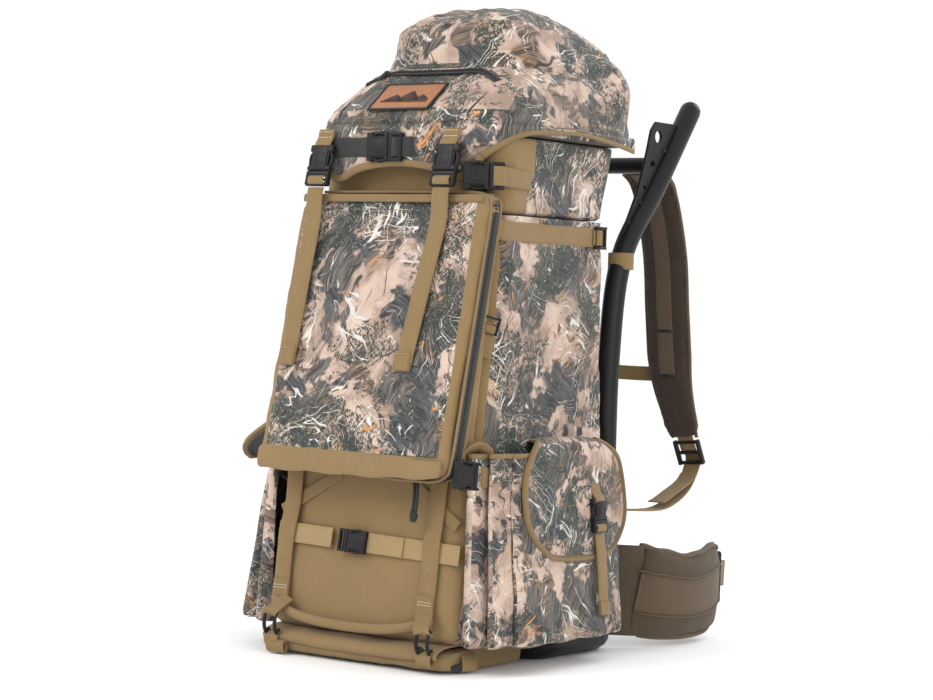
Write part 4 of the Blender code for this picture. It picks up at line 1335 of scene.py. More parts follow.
build_front_pocket()
zip_depth = 0.0165
ZIP_X = POCKET_HALF + 0.0032
facing = POCKET_HALF - 0.0155
pocket_zip_route = [
    (-0.116, POCKET_TOP + 0.0006), (-0.06, POCKET_TOP + 0.0008), (0.0, POCKET_TOP + 0.001),
    (0.06, POCKET_TOP + 0.0008)
]
pocket_zip_route += [
    (POCKET_HALF - 0.022, POCKET_TOP + 0.0004), (POCKET_HALF - 0.0035, POCKET_TOP - 0.006),
    (ZIP_X - 0.0007, POCKET_TOP - 0.022)
]
pocket_zip_route += [
    (ZIP_X, 0.5), (ZIP_X + 0.0003, 0.42), (ZIP_X + 0.0003, 0.34), (ZIP_X - 0.0004, POCKET_BOTTOM + 0.022)
]
pocket_zip_route += [
    (POCKET_HALF - 0.0035, POCKET_BOTTOM + 0.006), (POCKET_HALF - 0.02, POCKET_BOTTOM - 0.0006),
    (0.08, POCKET_BOTTOM - 0.001), (0.046, POCKET_BOTTOM - 0.0008)
]
zip_path = curve_through([Vector((x, pocket_front(z) + zip_depth, z)) for x, z in pocket_zip_route], 8)
zip_out = [tangent.cross(Vector((0, 1, 0))).normalized() for tangent in tangents(zip_path)]
zip_shape = zip_line(
    [point + out * 0.0012 for point, out in zip(zip_path, zip_out)], zip_out,
    [Vector((0, 1, 0))] * len(zip_path), 0.017, 0.0046
)
finish_piece("pocket_zip", zip_shape, BLACK_WEBBING, "pack", sharp=50)
ridges = []
for shift in (-0.0098, 0.0098):
    ridges.append(
        tube(
            [point + Vector((0, shift, 0)) + out * 0.0012 for point, out in zip(zip_path, zip_out)], 0.0019,
            8, side_hint=(0, 1, 0)
        )
    )
finish_piece("pocket_zip_welts", merge(ridges), BINDING, "pack", sharp=180)
face_edge = [
    (-facing, POCKET_TOP - 0.0105), (facing, POCKET_TOP - 0.0105), (facing, POCKET_BOTTOM + 0.027),
    (-facing, POCKET_BOTTOM + 0.027)
]
face_seams = []
for start, end in zip(face_edge, face_edge[1:]):
    line = [
        on_pocket(
            start[0] + (end[0] - start[0]) * step / 12, start[1] + (end[1] - start[1]) * step / 12, 0.0028
        )
        for step in range(13)
    ]
    face_seams.append(stitches(line, POCKET_OUT, 0.0034, 0.0014, 0.00035))
finish_piece("pocket_seams", merge(face_seams), BROWN_THREAD, "pack", sharp=180)
hem = [
    on_pocket(
        POCKET_HALF * (step / 15 - 1), POCKET_BOTTOM + 0.012 + 0.0012 * sin(step * 0.9),
        0.0035 + 0.001 * sin(step * 0.7)
    )
    for step in range(31)
]
hem_shape = strap(
    hem, POCKET_LEAN, [0.03 - 0.01 * max(0.0, step / 15 - 1) ** 2 for step in range(31)], 0.003, cup=0.0022
)
finish_piece("pocket_hem", hem_shape, TAN_CLOTH, "pack", sharp=180, levels=1)
top_band = [
    on_pocket((POCKET_HALF - 0.005) * (step / 12 - 1), POCKET_TOP - 0.0065, 0.003) for step in range(25)
]
finish_piece(
    "pocket_top_band", strap(top_band, POCKET_LEAN, 0.01, 0.002, cup=0.001), BINDING, "pack",
    sharp=180
)
slider_low, slider_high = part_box("pocket_zip_slider")
slider_spot = Vector(
    ((slider_low.x + slider_high.x) / 2, (slider_low.y + slider_high.y) / 2, slider_high.z + 0.0008)
)
finish_piece(
    "pocket_slider", zip_slider(slider_spot, (1, 0, 0), (0, 0, -1), 1.1), BUCKLE_PLASTIC,
    "pocket_zip_slider", ["pocket_zip_slider"]
)
cord_low, cord_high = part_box("pocket_zip_pull")
cord_top = Vector(((cord_low.x + cord_high.x) / 2, (cord_low.y + cord_high.y) / 2, cord_high.z + 0.003))
finish_piece(
    "pocket_pull",
    knotted_cord(
        cord_top, [(0, 0, 0), (0.001, -0.001, -0.014), (-0.001, 0.0, -0.03), (-0.004, 0.001, -0.046)],
        0.0021
    ),
    BLACK_WEBBING, "pocket_zip_pull", ["pocket_zip_pull"], 180,
)

# %% [markdown]
# ## Side pockets
# Each side pocket is one sheet: it starts at the bag, crosses the floor, turns up the outer
# face and ends in a hem at the mouth. Both ends of its outline are pleated, so the pocket
# can open out like a bellows, and it is deepest at the bottom.

# %% Side pockets
POCKET_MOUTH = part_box("side_pocket_right")[1].z
INNER = BAG_HALF + 0.0006


def pocket_depth(height):
    share = (height - BAG_FLOOR) / (POCKET_MOUTH - BAG_FLOOR)
    return 0.062 + (0.036 - 0.062) * share


PLEATS = (
    (0.0, -0.174), (0.1, -0.1795), (0.24, -0.1805), (0.34, -0.168), (0.38, -0.156), (0.44, -0.16),
    (0.58, -0.169), (0.7, -0.164), (0.78, -0.15), (0.82, -0.14), (0.88, -0.141), (0.98, -0.133),
    (1.0, -0.11), (1.0, -0.07), (1.02, -0.03), (1.03, 0.01), (1.02, 0.05), (0.99, 0.082),
    (0.93, 0.094), (0.8, 0.097), (0.76, 0.088), (0.68, 0.088), (0.6, 0.1), (0.44, 0.102), (0.36, 0.094),
    (0.28, 0.094), (0.16, 0.102), (0.0, 0.103),
)
pleat_line = curve_through([(depth, y, 0.0) for depth, y in PLEATS], 4)


def side_pocket_at(side, seed):
    floor_share = 0.16

    def at(u, v):
        spot = u * (len(pleat_line) - 1)
        on_plan = pleat_line[int(spot)].lerp(
            pleat_line[min(int(spot) + 1, len(pleat_line) - 1)], spot - int(spot)
        )
        if v < floor_share:
            share, height = v / floor_share, BAG_FLOOR + 0.0045
        else:
            share, height = 1.0, BAG_FLOOR + 0.0045 + (POCKET_MOUTH - BAG_FLOOR - 0.0045) * (
                (v - floor_share) / (1 - floor_share)
            ) ** 1.15
        droop = 0.006 * share * max(
            0.0, 1.0 - (height - BAG_FLOOR) / 0.03
        ) * (0.4 + 0.6 * abs(sin(on_plan.y * 42.0)))
        depth = pocket_depth(height) * (1.0 - 0.1 * max(0.0, 1.0 - (height - BAG_FLOOR) / 0.012))
        if side < 0:
            depth *= 1.0 + 0.42 * max(0.0, 1.0 - (height - BAG_FLOOR) / 0.2) ** 0.8 * min(
                1.0, max(0.0, -on_plan.y - 0.118) / 0.045
            )
        ripple = noise.fractal(
            Vector((on_plan.y * 11.0 + seed, height * 9.0, seed)), 1.0, 2.0, 3
        ) * 0.005 * share
        out = INNER + on_plan.x * share * depth + ripple * on_plan.x
        front_pull = (0.018 * (height - BAG_FLOOR) / 0.232) if on_plan.y < 0 else 0.0
        y = on_plan.y * (1.0 if share == 1.0 else 0.98) + front_pull * on_plan.x
        return Vector((side * out, y, height - droop))

    return at


for name, side in (("right", 1), ("left", -1)):
    at = side_pocket_at(side, 3.0 if side > 0 else 8.0)
    shape = cloth_grid(108, 40, at)
    finish_piece(
        f"side_pocket_cloth_{name}", shape, WOODLAND, "pack", [f"side_pocket_{name}"], 180,
        wall=0.0018
    )
    mouth = [at(step / 90, 1.0) for step in range(91)]
    finish_piece(
        f"side_pocket_binding_{name}", tube(mouth, 0.0034, 8, side_hint=(0, 0, 1), flat=0.6), BINDING,
        "pack", sharp=180
    )

# %% [markdown]
# ## Pocket flaps
# The flap is a shield of printed cloth with a black lining, bound in tan. It hangs from a
# seam just above the pocket's mouth, and the left one has been left standing open. One
# outline is drawn for the closed flap, then turned about that seam.

# %% Flaps
FLAP_WIDTH = 0.22
HINGE_HEIGHT = POCKET_MOUTH + 0.014
FLAP_LOW = POCKET_MOUTH - 0.13
LEFT_LIFT = 52.0
FLAP_MIDDLE = -0.008


def side_face(height):
    share = (height - BAG_FLOOR) / (POCKET_MOUTH - BAG_FLOOR)
    return INNER + 0.062 + (0.036 - 0.062) * share


flap_drop = curve_through(
    [(BAG_HALF + 0.001, 0.0, HINGE_HEIGHT), (side_face(POCKET_MOUTH) - 0.006, 0.0, HINGE_HEIGHT + 0.001)]
    + [
        (side_face(POCKET_MOUTH) + 0.0068, 0.0, POCKET_MOUTH - 0.002),
        (side_face(POCKET_MOUTH - 0.03) + 0.0048, 0.0, POCKET_MOUTH - 0.03)
    ]
    + [
        (side_face(FLAP_LOW + 0.05) + 0.0042, 0.0, FLAP_LOW + 0.05),
        (side_face(FLAP_LOW + 0.02) + 0.0036, 0.0, FLAP_LOW + 0.02),
        (side_face(FLAP_LOW) + 0.0034, 0.0, FLAP_LOW)
    ],
    6,
)
flap_widths = curve_through([(share, 0.0, 0.0) for share in (0.4, 0.58, 0.84, 0.98, 1.0, 0.84, 0.6)], 6)


def flap_at(u, v):
    spot = v * (len(flap_drop) - 1)
    index = min(int(spot), len(flap_drop) - 2)
    middle = flap_drop[index].lerp(flap_drop[index + 1], spot - index)
    share = flap_widths[index].lerp(flap_widths[index + 1], spot - index).x
    across = u * 2 - 1
    y = FLAP_MIDDLE + across * share * FLAP_WIDTH / 2 + (0.012 * v * v)
    curl = -0.0035 * abs(across) ** 3 * v
    billow = 0.003 * sin(pi * min(1.0, v * 1.1)) * (1 - across * across)
    rise = 0.01 * (1 - across * across) * (1 - v) if v < 0.3 else 0.0
    return Vector((middle.x + curl + billow, y, middle.z + rise * 0.4 + 0.004 * across * across * v))


for name, side in (("right", 1), ("left", -1)):
    lift = Matrix.Identity(4)
    hinge = Vector((side * (BAG_HALF + 0.0004), 0.0, HINGE_HEIGHT))
    if side < 0:
        lift = Matrix.Translation(hinge) @ Matrix.Rotation(
            radians(LEFT_LIFT), 4, "Y"
        ) @ Matrix.Translation(-hinge)

    def moved(point):
        return lift @ Vector((side * point.x, point.y, point.z))

    body = f"side_flap_{name}"
    shape = cloth_grid(40, 36, lambda u, v: moved(flap_at(u, v)))
    bmesh.ops.recalc_face_normals(shape, faces=shape.faces)
    shape.normal_update()
    outer = moved(flap_at(0.5, 0.7) + Vector((1, 0, 0))) - moved(flap_at(0.5, 0.7))
    if sum(face.normal.dot(outer) for face in shape.faces) < 0:
        bmesh.ops.reverse_faces(shape, faces=shape.faces)
    flap = finish_piece(
        f"flap_cloth_{name}", shape, [WOODLAND, LINING], body, [f"side_flap_{name}"], 180,
        wall=0.0026
    )
    flap.modifiers["wall"].material_offset = 1
    edge = [(0.0, step / 24) for step in range(4, 25)] + [(step / 24, 1.0) for step in range(1, 25)] + [
        (1.0, 1 - step / 24) for step in range(1, 21)
    ]
    binding = tube([moved(flap_at(u, v)) for u, v in edge], 0.0042, 8, side_hint=(1, 0, 0), flat=1.0)
    finish_piece(f"flap_binding_{name}", binding, BINDING, body, sharp=180)
    fall = (
        Vector((side_face(FLAP_LOW + 0.02), 0, FLAP_LOW + 0.02))
        - Vector((side_face(POCKET_MOUTH - 0.03), 0, POCKET_MOUTH - 0.03))
    ).normalized()
    out = Vector((1.0, 0.0, -fall.x / fall.z)).normalized()
    meet = FLAP_LOW + 0.045
    seat = Vector((side_face(meet), 0.034, meet)) + out * (LOOSE * 2 + 0.004 + 0.0025 * (side < 0))

    def turned(vector):
        return lift.to_3x3() @ Vector((side * vector.x, vector.y, vector.z))

    buckle(
        f"flap_buckle_{name}",
        [("socket", body, f"flap_socket_{name}"), ("prongs", f"flap_prongs_{name}", f"flap_prongs_{name}")],
        moved(seat), turned(fall), turned(out), 0.8,
    )
    above_buckle = seat - fall * 0.0272
    tab = curve_through(
        [
            above_buckle - fall * 0.02 + out * 0.0006, above_buckle - fall * 0.008 + out * 0.0025,
            above_buckle + fall * 0.001 + out * 0.008, above_buckle + fall * 0.007 + out * 0.0065
        ],
        5
    )
    finish_piece(
        f"flap_tab_{name}", strap([moved(point) for point in tab], (0, 1, 0), 0.02, 0.0022), TAN_WEBBING,
        body, sharp=60
    )
    lip = curve_through(
        [
            seat + fall * 0.0155 + out * 0.003, seat + fall * 0.0135 + out * 0.008,
            seat + fall * 0.008 + out * 0.0086, seat + fall * 0.0052 + out * 0.0066
        ],
        5
    )
    finish_piece(
        f"flap_loop_{name}", strap([moved(point) for point in lip], (0, 1, 0), 0.02, 0.0018), TAN_WEBBING,
        f"flap_prongs_{name}", sharp=60
    )
    if side > 0:
        start = seat + fall * 0.0185 + out * 0.004
        tail = strap(
            curve_through(
                [
                    start, start + fall * 0.04 + out * 0.001, start + fall * 0.08,
                    start + fall * 0.101 - out * 0.0005
                ],
                5
            ),
            (0, 1, 0), 0.021, 0.0021, cup=0.0005
        )
        fold = strap(
            [start + fall * 0.085 + out * 0.0018, start + fall * 0.1012 + out * 0.002], (0, 1, 0), 0.0208,
            0.0018
        )
        finish_piece(
            "flap_webbing_right", merge([tail, fold]), TAN_WEBBING, "flap_strap_right",
            ["flap_strap_right"], 60
        )
print("pockets done", tally)
# %% [markdown]
# ## The lower front
# Below the pocket the tan panel is crossed by straps: two upright ones that carry the load
# shelf, a lighter one across them with a small buckle, and a short one at a slant from each
# lower corner of the pocket. Each is webbing laid a little way off the cloth.

# %% Lower straps
for name, node, drift in (("right", "lower_strap_right", 0.0), ("left", "lower_strap_left", 0.002)):
    low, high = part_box(node)
    x = (low.x + high.x) / 2
    heights = (POCKET_BOTTOM + 0.002, 0.19, 0.155, 0.12, 0.085, 0.062, 0.052)
    path = [
        on_front(x + drift * sin(height * 40), height, 0.007 if height > 0.13 and height < 0.17 else 0.005)
        for height in heights
    ]
    parts = [strap(curve_through(path, 5), (1, 0, 0), WEBBING, 0.0021, cup=0.0004)]
    fold = [on_front(x, height, 0.0074) for height in (0.092, 0.076, 0.06, 0.052)]
    parts.append(strap(curve_through(fold, 4), (1, 0, 0), WEBBING * 1.01, 0.0019))
    finish_piece(f"lower_webbing_{name}_front", merge(parts), TAN_WEBBING, "pack", [node], 60)
    rows = [[on_front(x + side * 0.0105, height, 0.0086) for side in (-1, 1)] for height in (0.084, 0.0805)]
    finish_piece(
        f"lower_webbing_{name}_sewing", merge([stitches(row, FRONT_OUT) for row in rows]), PALE_THREAD,
        "pack", sharp=180
    )

BRIGHT_WEBBING = webbing_finish("pale_webbing", (0.44, 0.305, 0.14), (0.245, 0.16, 0.068))
cross = curve_through(
    [
        on_front(x, 0.148 - 0.029 * x, 0.003 + bulge) for x,
        bulge in ((-0.142, -0.002), (-0.126, 0.0), (-0.08, 0.001), (-0.052, 0.003))
    ],
    5
)
cross_parts = [strap(cross, FRONT_LEAN, WEBBING, 0.002)]
cross = curve_through(
    [
        on_front(x, 0.148 - 0.029 * x, 0.003 + bulge) for x,
        bulge in ((-0.018, 0.004), (0.01, 0.001), (0.06, 0.0), (0.11, 0.0), (0.143, -0.002))
    ],
    5
)
cross_parts.append(strap(cross, FRONT_LEAN, WEBBING, 0.002))
second = curve_through(
    [
        on_front(x, 0.148 - 0.029 * x, 0.0054 + bulge) for x,
        bulge in ((-0.006, 0.003), (0.008, 0.0), (0.06, 0.0))
    ],
    5
)
cross_parts.append(strap(second, FRONT_LEAN, WEBBING, 0.0018))
finish_piece(
    "lower_cross_webbing", merge(cross_parts), BRIGHT_WEBBING, "pack", ["lower_cross_strap"],
    60
)
lower_seat = on_front(-0.022, 0.148, LOOSE * 2 + 0.002)
buckle(
    "lower_buckle",
    [("socket", "pack", "lower_buckle_socket"), ("prongs", "lower_buckle_prongs", "lower_buckle_prongs")],
    lower_seat, (-1.0, 0.0, 0.029), FRONT_OUT, 0.8
)

slants = []
for side, reach in ((1, 0.136), (-1, 0.14)):
    start = on_front(side * 0.052, POCKET_BOTTOM - 0.004, 0.0015)
    stop = on_front(side * reach, POCKET_BOTTOM - 0.058, 0.0012)
    along = (stop - start).normalized()
    slants.append(
        strap([start.lerp(stop, step / 6) for step in range(7)], FRONT_OUT.cross(along), 0.016, 0.0016)
    )
finish_piece("slanted_straps", merge(slants), TAN_WEBBING, "pack", sharp=60)

# %% [markdown]
# ## The load shelf
# A stiffened flap of tan cloth folds forward under the pack. It is a thick loft along X
# with a soft front roll, and a second, thinner fold lies over it. Black hooks on loops of
# webbing hold its two corners up to the upright straps.

# %% Load shelf
shelf_low, shelf_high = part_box("load_shelf")


def shelf_section(x, wave):
    front, rear = shelf_low.y + 0.003 + wave, shelf_high.y
    low, high = 0.0008, shelf_high.z - 0.001 + wave * 0.5
    outline = [
        (rear, low + 0.004), (rear, high - 0.006), (rear - 0.03, high), (front + 0.06, high + 0.0005),
        (front + 0.016, high - 0.003),
        (front + 0.003, high - 0.008), (front, 0.0165), (front + 0.002, 0.0085),
        (front + 0.012, 0.003 + abs(wave)), (front + 0.05, low), (rear - 0.03, low),
    ]
    return curve_through([(x, y, z) for y, z in outline], 3)


shelf_steps = 48
shelf_rings = []
for step in range(shelf_steps + 1):
    x = shelf_low.x + 0.001 + (shelf_high.x - shelf_low.x - 0.002) * step / shelf_steps
    edge = abs(2 * step / shelf_steps - 1) ** 12
    section = shelf_section(x, 0.003 * noise.noise(Vector((x * 22.0, 0.0, 4.0))))
    middle = sum(section, Vector()) / len(section)
    shelf_rings.append([point.lerp(Vector((x, middle.y, middle.z)), 0.16 * edge) for point in section])
shelf = wrinkle(
    loft(shelf_rings), 0.0018, 0.035, 6.0, (1.0, 0.6, 1.0), lambda point: 0.0 if point.z < 0.006 else 1.0
)
finish_piece("shelf_cloth", shelf, TAN_CLOTH, "pack", ["load_shelf"], 60)
over = [
    (shelf_low.y + 0.07, shelf_high.z + 0.004), (shelf_low.y + 0.03, shelf_high.z + 0.003),
    (shelf_low.y + 0.008, shelf_high.z - 0.001),
    (shelf_low.y - 0.0015, 0.0215), (shelf_low.y + 0.0008, 0.015),
]
fold_path = curve_through([(0.0, y, z) for y, z in over], 5)


def shelf_fold(u, v):
    x = (u * 2 - 1) * 0.136
    spot = v * (len(fold_path) - 1)
    index = min(int(spot), len(fold_path) - 2)
    at = fold_path[index].lerp(fold_path[index + 1], spot - index)
    sag = noise.noise(Vector((x * 18.0, v * 2.0, 9.0))) * 0.0022
    return Vector((x, at.y + sag * 0.6, at.z + sag + 0.004 * abs(u * 2 - 1) ** 3 * v))


finish_piece(
    "shelf_fold", cloth_grid(50, 18, shelf_fold), TAN_CLOTH, "pack", sharp=180, wall=0.002
)
bottom_roll = curve_through(
    [
        on_front(x, 0.052 + dip, 0.01 + out) for x, dip,
        out in (
            (-0.128, 0.012, 0.0), (-0.09, -0.002, 0.003), (-0.03, -0.008, 0.004), (0.04, -0.007, 0.004),
            (0.085, 0.0, 0.002), (0.115, 0.01, 0.0)
        )
    ],
    6
)
finish_piece(
    "bottom_roll", tube(bottom_roll, 0.0062, 12, round_end=1, side_hint=(0, 0, 1), flat=0.7), TAN_CLOTH,
    "pack", sharp=180
)

# %% Hooks and corner loops


def web_loop(centre, width_along, height, depth, width=0.022, turn=0.0):
    """A flattened ring of webbing, seen from its side."""
    ring = []
    for step in range(21):
        angle = 2 * pi * step / 20
        ring.append(Vector((0.0, depth * cos(angle), height * sin(angle) * (1.0 + 0.15 * cos(angle)))))
    side = Vector(width_along).normalized()
    shape = strap(ring, side, width, 0.0019)
    bmesh.ops.rotate(shape, verts=shape.verts, cent=(0, 0, 0), matrix=Matrix.Rotation(turn, 3, "Z"))
    bmesh.ops.translate(shape, verts=shape.verts, vec=Vector(centre))
    return shape


for name, side in (("right", 1), ("left", -1)):
    low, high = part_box(f"shelf_hook_{name}")
    middle = (low + high) / 2
    hook = [
        (0, 0, 0.015), (0, -0.0035, 0.01), (0, -0.0045, 0.0), (0, -0.002, -0.009), (0, 0.0022, -0.0125),
        (0, 0.0042, -0.008)
    ]
    parts = []
    for x in (-0.0085, 0.0085):
        parts.append(
            tube(
                curve_through([middle + Vector((x, 0.0, 0.0)) + Vector(step) for step in hook], 4), 0.0024,
                10, round_end=1
            )
        )
    for z, y, radius in ((0.0145, 0.0, 0.0026), (0.004, -0.0042, 0.0024), (-0.0125, 0.0018, 0.0026)):
        parts.append(
            tube(
                [middle + Vector((-0.0125, y, z)), middle + Vector((0.0125, y, z))], radius, 10, round_end=1
            )
        )
    finish_piece(
        f"hook_{name}", merge(parts), BUCKLE_PLASTIC, f"shelf_hook_{name}",
        [f"shelf_hook_{name}"], 50
    )
    x = middle.x
    upper = curve_through(
        [
            on_front(x - side * 0.012, 0.07, 0.009),
            Vector((x - side * 0.004, middle.y - 0.0005, high.z + 0.004)),
            Vector((x, middle.y - 0.004, high.z - 0.002)), Vector((x, middle.y + 0.003, high.z - 0.006))
        ],
        5
    )
    lower = web_loop((x, shelf_low.y - 0.001, 0.019), (1, 0, 0), 0.009, 0.0055)
    finish_piece(
        f"hook_webbing_{name}", merge([strap(upper, (1, 0, 0), 0.022, 0.002), lower]), TAN_WEBBING, "pack",
        sharp=60
    )
corner_tab = web_loop((-0.112, shelf_low.y - 0.0035, 0.0105), (1, 0, 0), 0.0075, 0.0045, 0.028)
side_tab = strap(
    curve_through(
        [(0.139, -0.15, 0.026), (0.149, -0.156, 0.017), (0.153, -0.16, 0.006), (0.147, -0.157, 0.003)], 5
    ),
    (0.3, 0.95, 0.0), 0.022, 0.0022
)
finish_piece("corner_tabs", merge([corner_tab, side_tab]), TAN_WEBBING, "pack", sharp=60)
web_cord = tube(
    curve_through(
        [
            (0.112, shelf_low.y - 0.003, 0.03), (0.122, -0.197, 0.017), (0.138, -0.18, 0.008),
            (0.146, -0.165, 0.009)
        ],
        6
    ),
    0.0046, 10, round_end=1
)
finish_piece("corner_cord", web_cord, BLACK_WEBBING, "pack", sharp=180)

# %% [markdown]
# ## Side hardware
# Short straps pull the bag in from its front seam to the frame. Each ends in a small
# ladder lock, which is two rails with three bars between them.

# %% Side straps and ladder locks


def ladder(scale=1.0):
    parts = []
    for z in (-0.0125, 0.0, 0.0125):
        parts.append(block((-0.0155, 0.0018, z - 0.0021), (0.0155, 0.006, z + 0.0021), 0.0014, 2))
    for x in (-0.015, 0.015):
        parts.append(block((x - 0.0021, 0.0008, -0.015), (x + 0.0021, 0.0068, 0.015), 0.0014, 2))
    shape = merge(parts)
    bmesh.ops.scale(shape, verts=shape.verts, vec=(scale, scale, scale))
    return shape


def threaded_ladder(name, seat, along, outward, scale=0.9):
    """A ladder lock with a short bit of webbing through it."""
    seat, along, outward = Vector(seat), Vector(along).normalized(), Vector(outward).normalized()
    finish_piece(
        f"{name}_lock", place(ladder(scale), seat, along, outward), BUCKLE_PLASTIC, "pack",
        sharp=45
    )
    across = outward.cross(along)
    bit = [
        along * -0.016 + outward * 0.001, along * -0.01 + outward * 0.0076,
        along * -0.003 + outward * 0.0072, along * 0.003 + outward * 0.001
    ]
    webbing = strap(curve_through([seat + step * scale for step in bit], 5), across, 0.023 * scale, 0.0019)
    return webbing


for name, side in (("right", 1), ("left", -1)):
    z = SIDE_STRAP_HEIGHT
    route = [
        (0.112, bag_front(z) - 0.0035, z + 0.004), (0.134, bag_front(z) - 0.0015, z + 0.003),
        (0.1425, -0.112, z + 0.002), (0.145, -0.09, z)
    ]
    route += [(0.1442, -0.03, z), (0.1446, 0.04, z), (0.1462, 0.09, z), (0.1475, 0.118, z)]
    path = curve_through([(side * x, y, h) for x, y, h in route], 5)
    parts = [strap(path, (0, 0, 1), WEBBING, 0.0021)]
    parts.append(
        threaded_ladder(f"side_strap_{name}", (side * 0.147, 0.102, z), (0, 1, 0), (side, 0, 0), 0.86)
    )
    finish_piece(
        f"side_webbing_{name}", merge(parts), TAN_WEBBING, "pack", [f"side_strap_{name}"], 60
    )

corner_seat = Vector((0.13, -0.1215, 0.607))
corner_along, corner_out = Vector((0.86, 0.51, 0.0)), Vector((0.51, -0.86, 0.0))
corner_parts = [
    place(buckle_socket(0.95), corner_seat, corner_along, corner_out),
    place(buckle_prongs(0.95), corner_seat, corner_along, corner_out)
]
finish_piece("collar_buckle", merge(corner_parts), BUCKLE_PLASTIC, "pack", sharp=45)
corner_web = [
    corner_seat + corner_along * along + corner_out * out for along,
    out in ((0.02, 0.002), (0.016, 0.0105), (0.009, 0.0108), (0.004, 0.007))
]
corner_tail = [
    corner_seat + corner_along * 0.017 + corner_out * 0.003, Vector((0.148, -0.098, 0.606)),
    Vector((0.1475, -0.07, 0.605)), Vector((0.145, -0.05, 0.604))
]
corner_parts = [
    strap(curve_through(corner_web, 4), (0, 0, 1), 0.024, 0.002),
    strap(curve_through(corner_tail, 4), (0, 0, 1), 0.024, 0.002)
]
seat_low = Vector((0.1385, bag_front(0.262) - 0.0045, 0.25))
low_along, low_out = Vector((0.72, 0.62, -0.3)), Vector((0.62, -0.78, 0.1))
corner_parts.append(threaded_ladder("front_corner", seat_low, low_along, low_out, 1.0))
wide_loop = [
    seat_low + Vector(step)
    for step in (
        (0.004, -0.003, 0.004), (0.01, -0.01, 0.018), (0.02, -0.002, 0.026), (0.024, 0.012, 0.016),
        (0.022, 0.02, -0.004)
    )
]
corner_parts.append(strap(curve_through(wide_loop, 5), (0.5, -0.6, 0.62), 0.024, 0.002))
corner_parts.append(
    threaded_ladder(
        "front_edge", (0.1475, bag_front(0.425) - 0.001, 0.425), (0.25, 0.1, 1.0), (0.75, -0.66, 0.0), 0.75
    )
)
corner_parts.append(
    strap(
        [(0.146, bag_front(0.38) - 0.001, 0.385), (0.1475, bag_front(0.425) - 0.001, 0.412)],
        (0.66, 0.75, 0.0), 0.018, 0.0018
    )
)
finish_piece("corner_webbing", merge(corner_parts), TAN_WEBBING, "pack", sharp=60)
ring_path = [
    (0.118 + 0.008 * cos(2 * pi * step / 18), FRONT_HIGH - 0.004, 0.585 + 0.006 * sin(2 * pi * step / 18))
    for step in range(19)
]
finish_piece(
    "collar_ring", tube(ring_path, 0.0013, 8, side_hint=(0, 1, 0)), BUCKLE_PLASTIC, "pack",
    sharp=180
)
print("front hardware done", tally)

# %% [markdown]
# A second side buckle hangs at the pocket's lower right corner, on a folded tab.

# %% Pocket corner buckle
corner_seat = Vector((POCKET_HALF + 0.0085, pocket_front(POCKET_BOTTOM) + 0.042, POCKET_BOTTOM + 0.006))
corner_along = Vector((0.1, 0.98, -0.1)).normalized()
corner_out = Vector((0.98, -0.1, 0.0)).normalized()
halves = merge([buckle_socket(0.95), buckle_prongs(0.95)])
finish_piece(
    "corner_buckle", place(halves, corner_seat, corner_along, corner_out), BUCKLE_PLASTIC, "pack",
    sharp=45
)
fold = [
    corner_seat + corner_along * 0.01 + corner_out * 0.004,
    corner_seat + corner_along * 0.014 + corner_out * 0.012
]
fold += [
    corner_seat + corner_along * 0.026 + corner_out * 0.011,
    corner_seat + corner_along * 0.046 + Vector((-0.004, 0, 0))
]
fold_shape = strap(curve_through(fold, 6), (0, 0, 1), WEBBING, 0.0022)
finish_piece("corner_buckle_tab", fold_shape, TAN_WEBBING, "pack", sharp=60)
# %% [markdown]
# ## The frame
# Two black posts rise behind the bag and lean back to round ends. A thin plate stiffens
# each post where it bends, with holes for lashing, and a crossbar joins them. Along the
# floor the frame is a rounded cup that the bag stands in.

# %% Posts, plates and crossbar
RAIL_X, RAIL_Y, RAIL_RADIUS = 0.14, BAG_BACK + 0.006 + 0.0145, 0.0145
rail_points = [
    (RAIL_Y, BAG_FLOOR), (RAIL_Y, 0.2), (RAIL_Y, BAG_TOP - 0.18), (RAIL_Y + 0.022, BAG_TOP - 0.045),
    (BAG_BACK + 0.12, BAG_TOP + 0.052), (BAG_BACK + 0.205, BAG_TOP + 0.162)
]


def rail_at(height):
    path = curve_through([(0.0, y, z) for y, z in rail_points], 3)
    for low, high in zip(path, path[1:]):
        if low.z <= height <= high.z:
            return low.y + (high.y - low.y) * (height - low.z) / (high.z - low.z)
    return path[-1].y


def frame_plate(x):
    """The thin plate in front of a post, before its three round holes are cut."""
    rows = [
        (0.545, 0.004), (0.575, 0.012), (0.605, 0.021), (0.635, 0.033), (0.665, 0.046), (0.69, 0.058),
        (0.702, 0.056)
    ]
    rings = []
    for height, reach in rows:
        rear = rail_at(height) - RAIL_RADIUS * 1.25 - LOOSE
        low, high = rear - reach, rear
        rings.append(
            [
                Vector((x + 0.002, low + 0.001, height)), Vector((x + 0.002, high, height)),
                Vector((x - 0.002, high, height)), Vector((x - 0.002, low + 0.001, height))
            ]
        )
    plate = loft(rings)
    bmesh.ops.bevel(
        plate, geom=plate.edges[:], offset=0.0006, segments=1, profile=0.5, affect="EDGES", material=-1
    )
    return plate


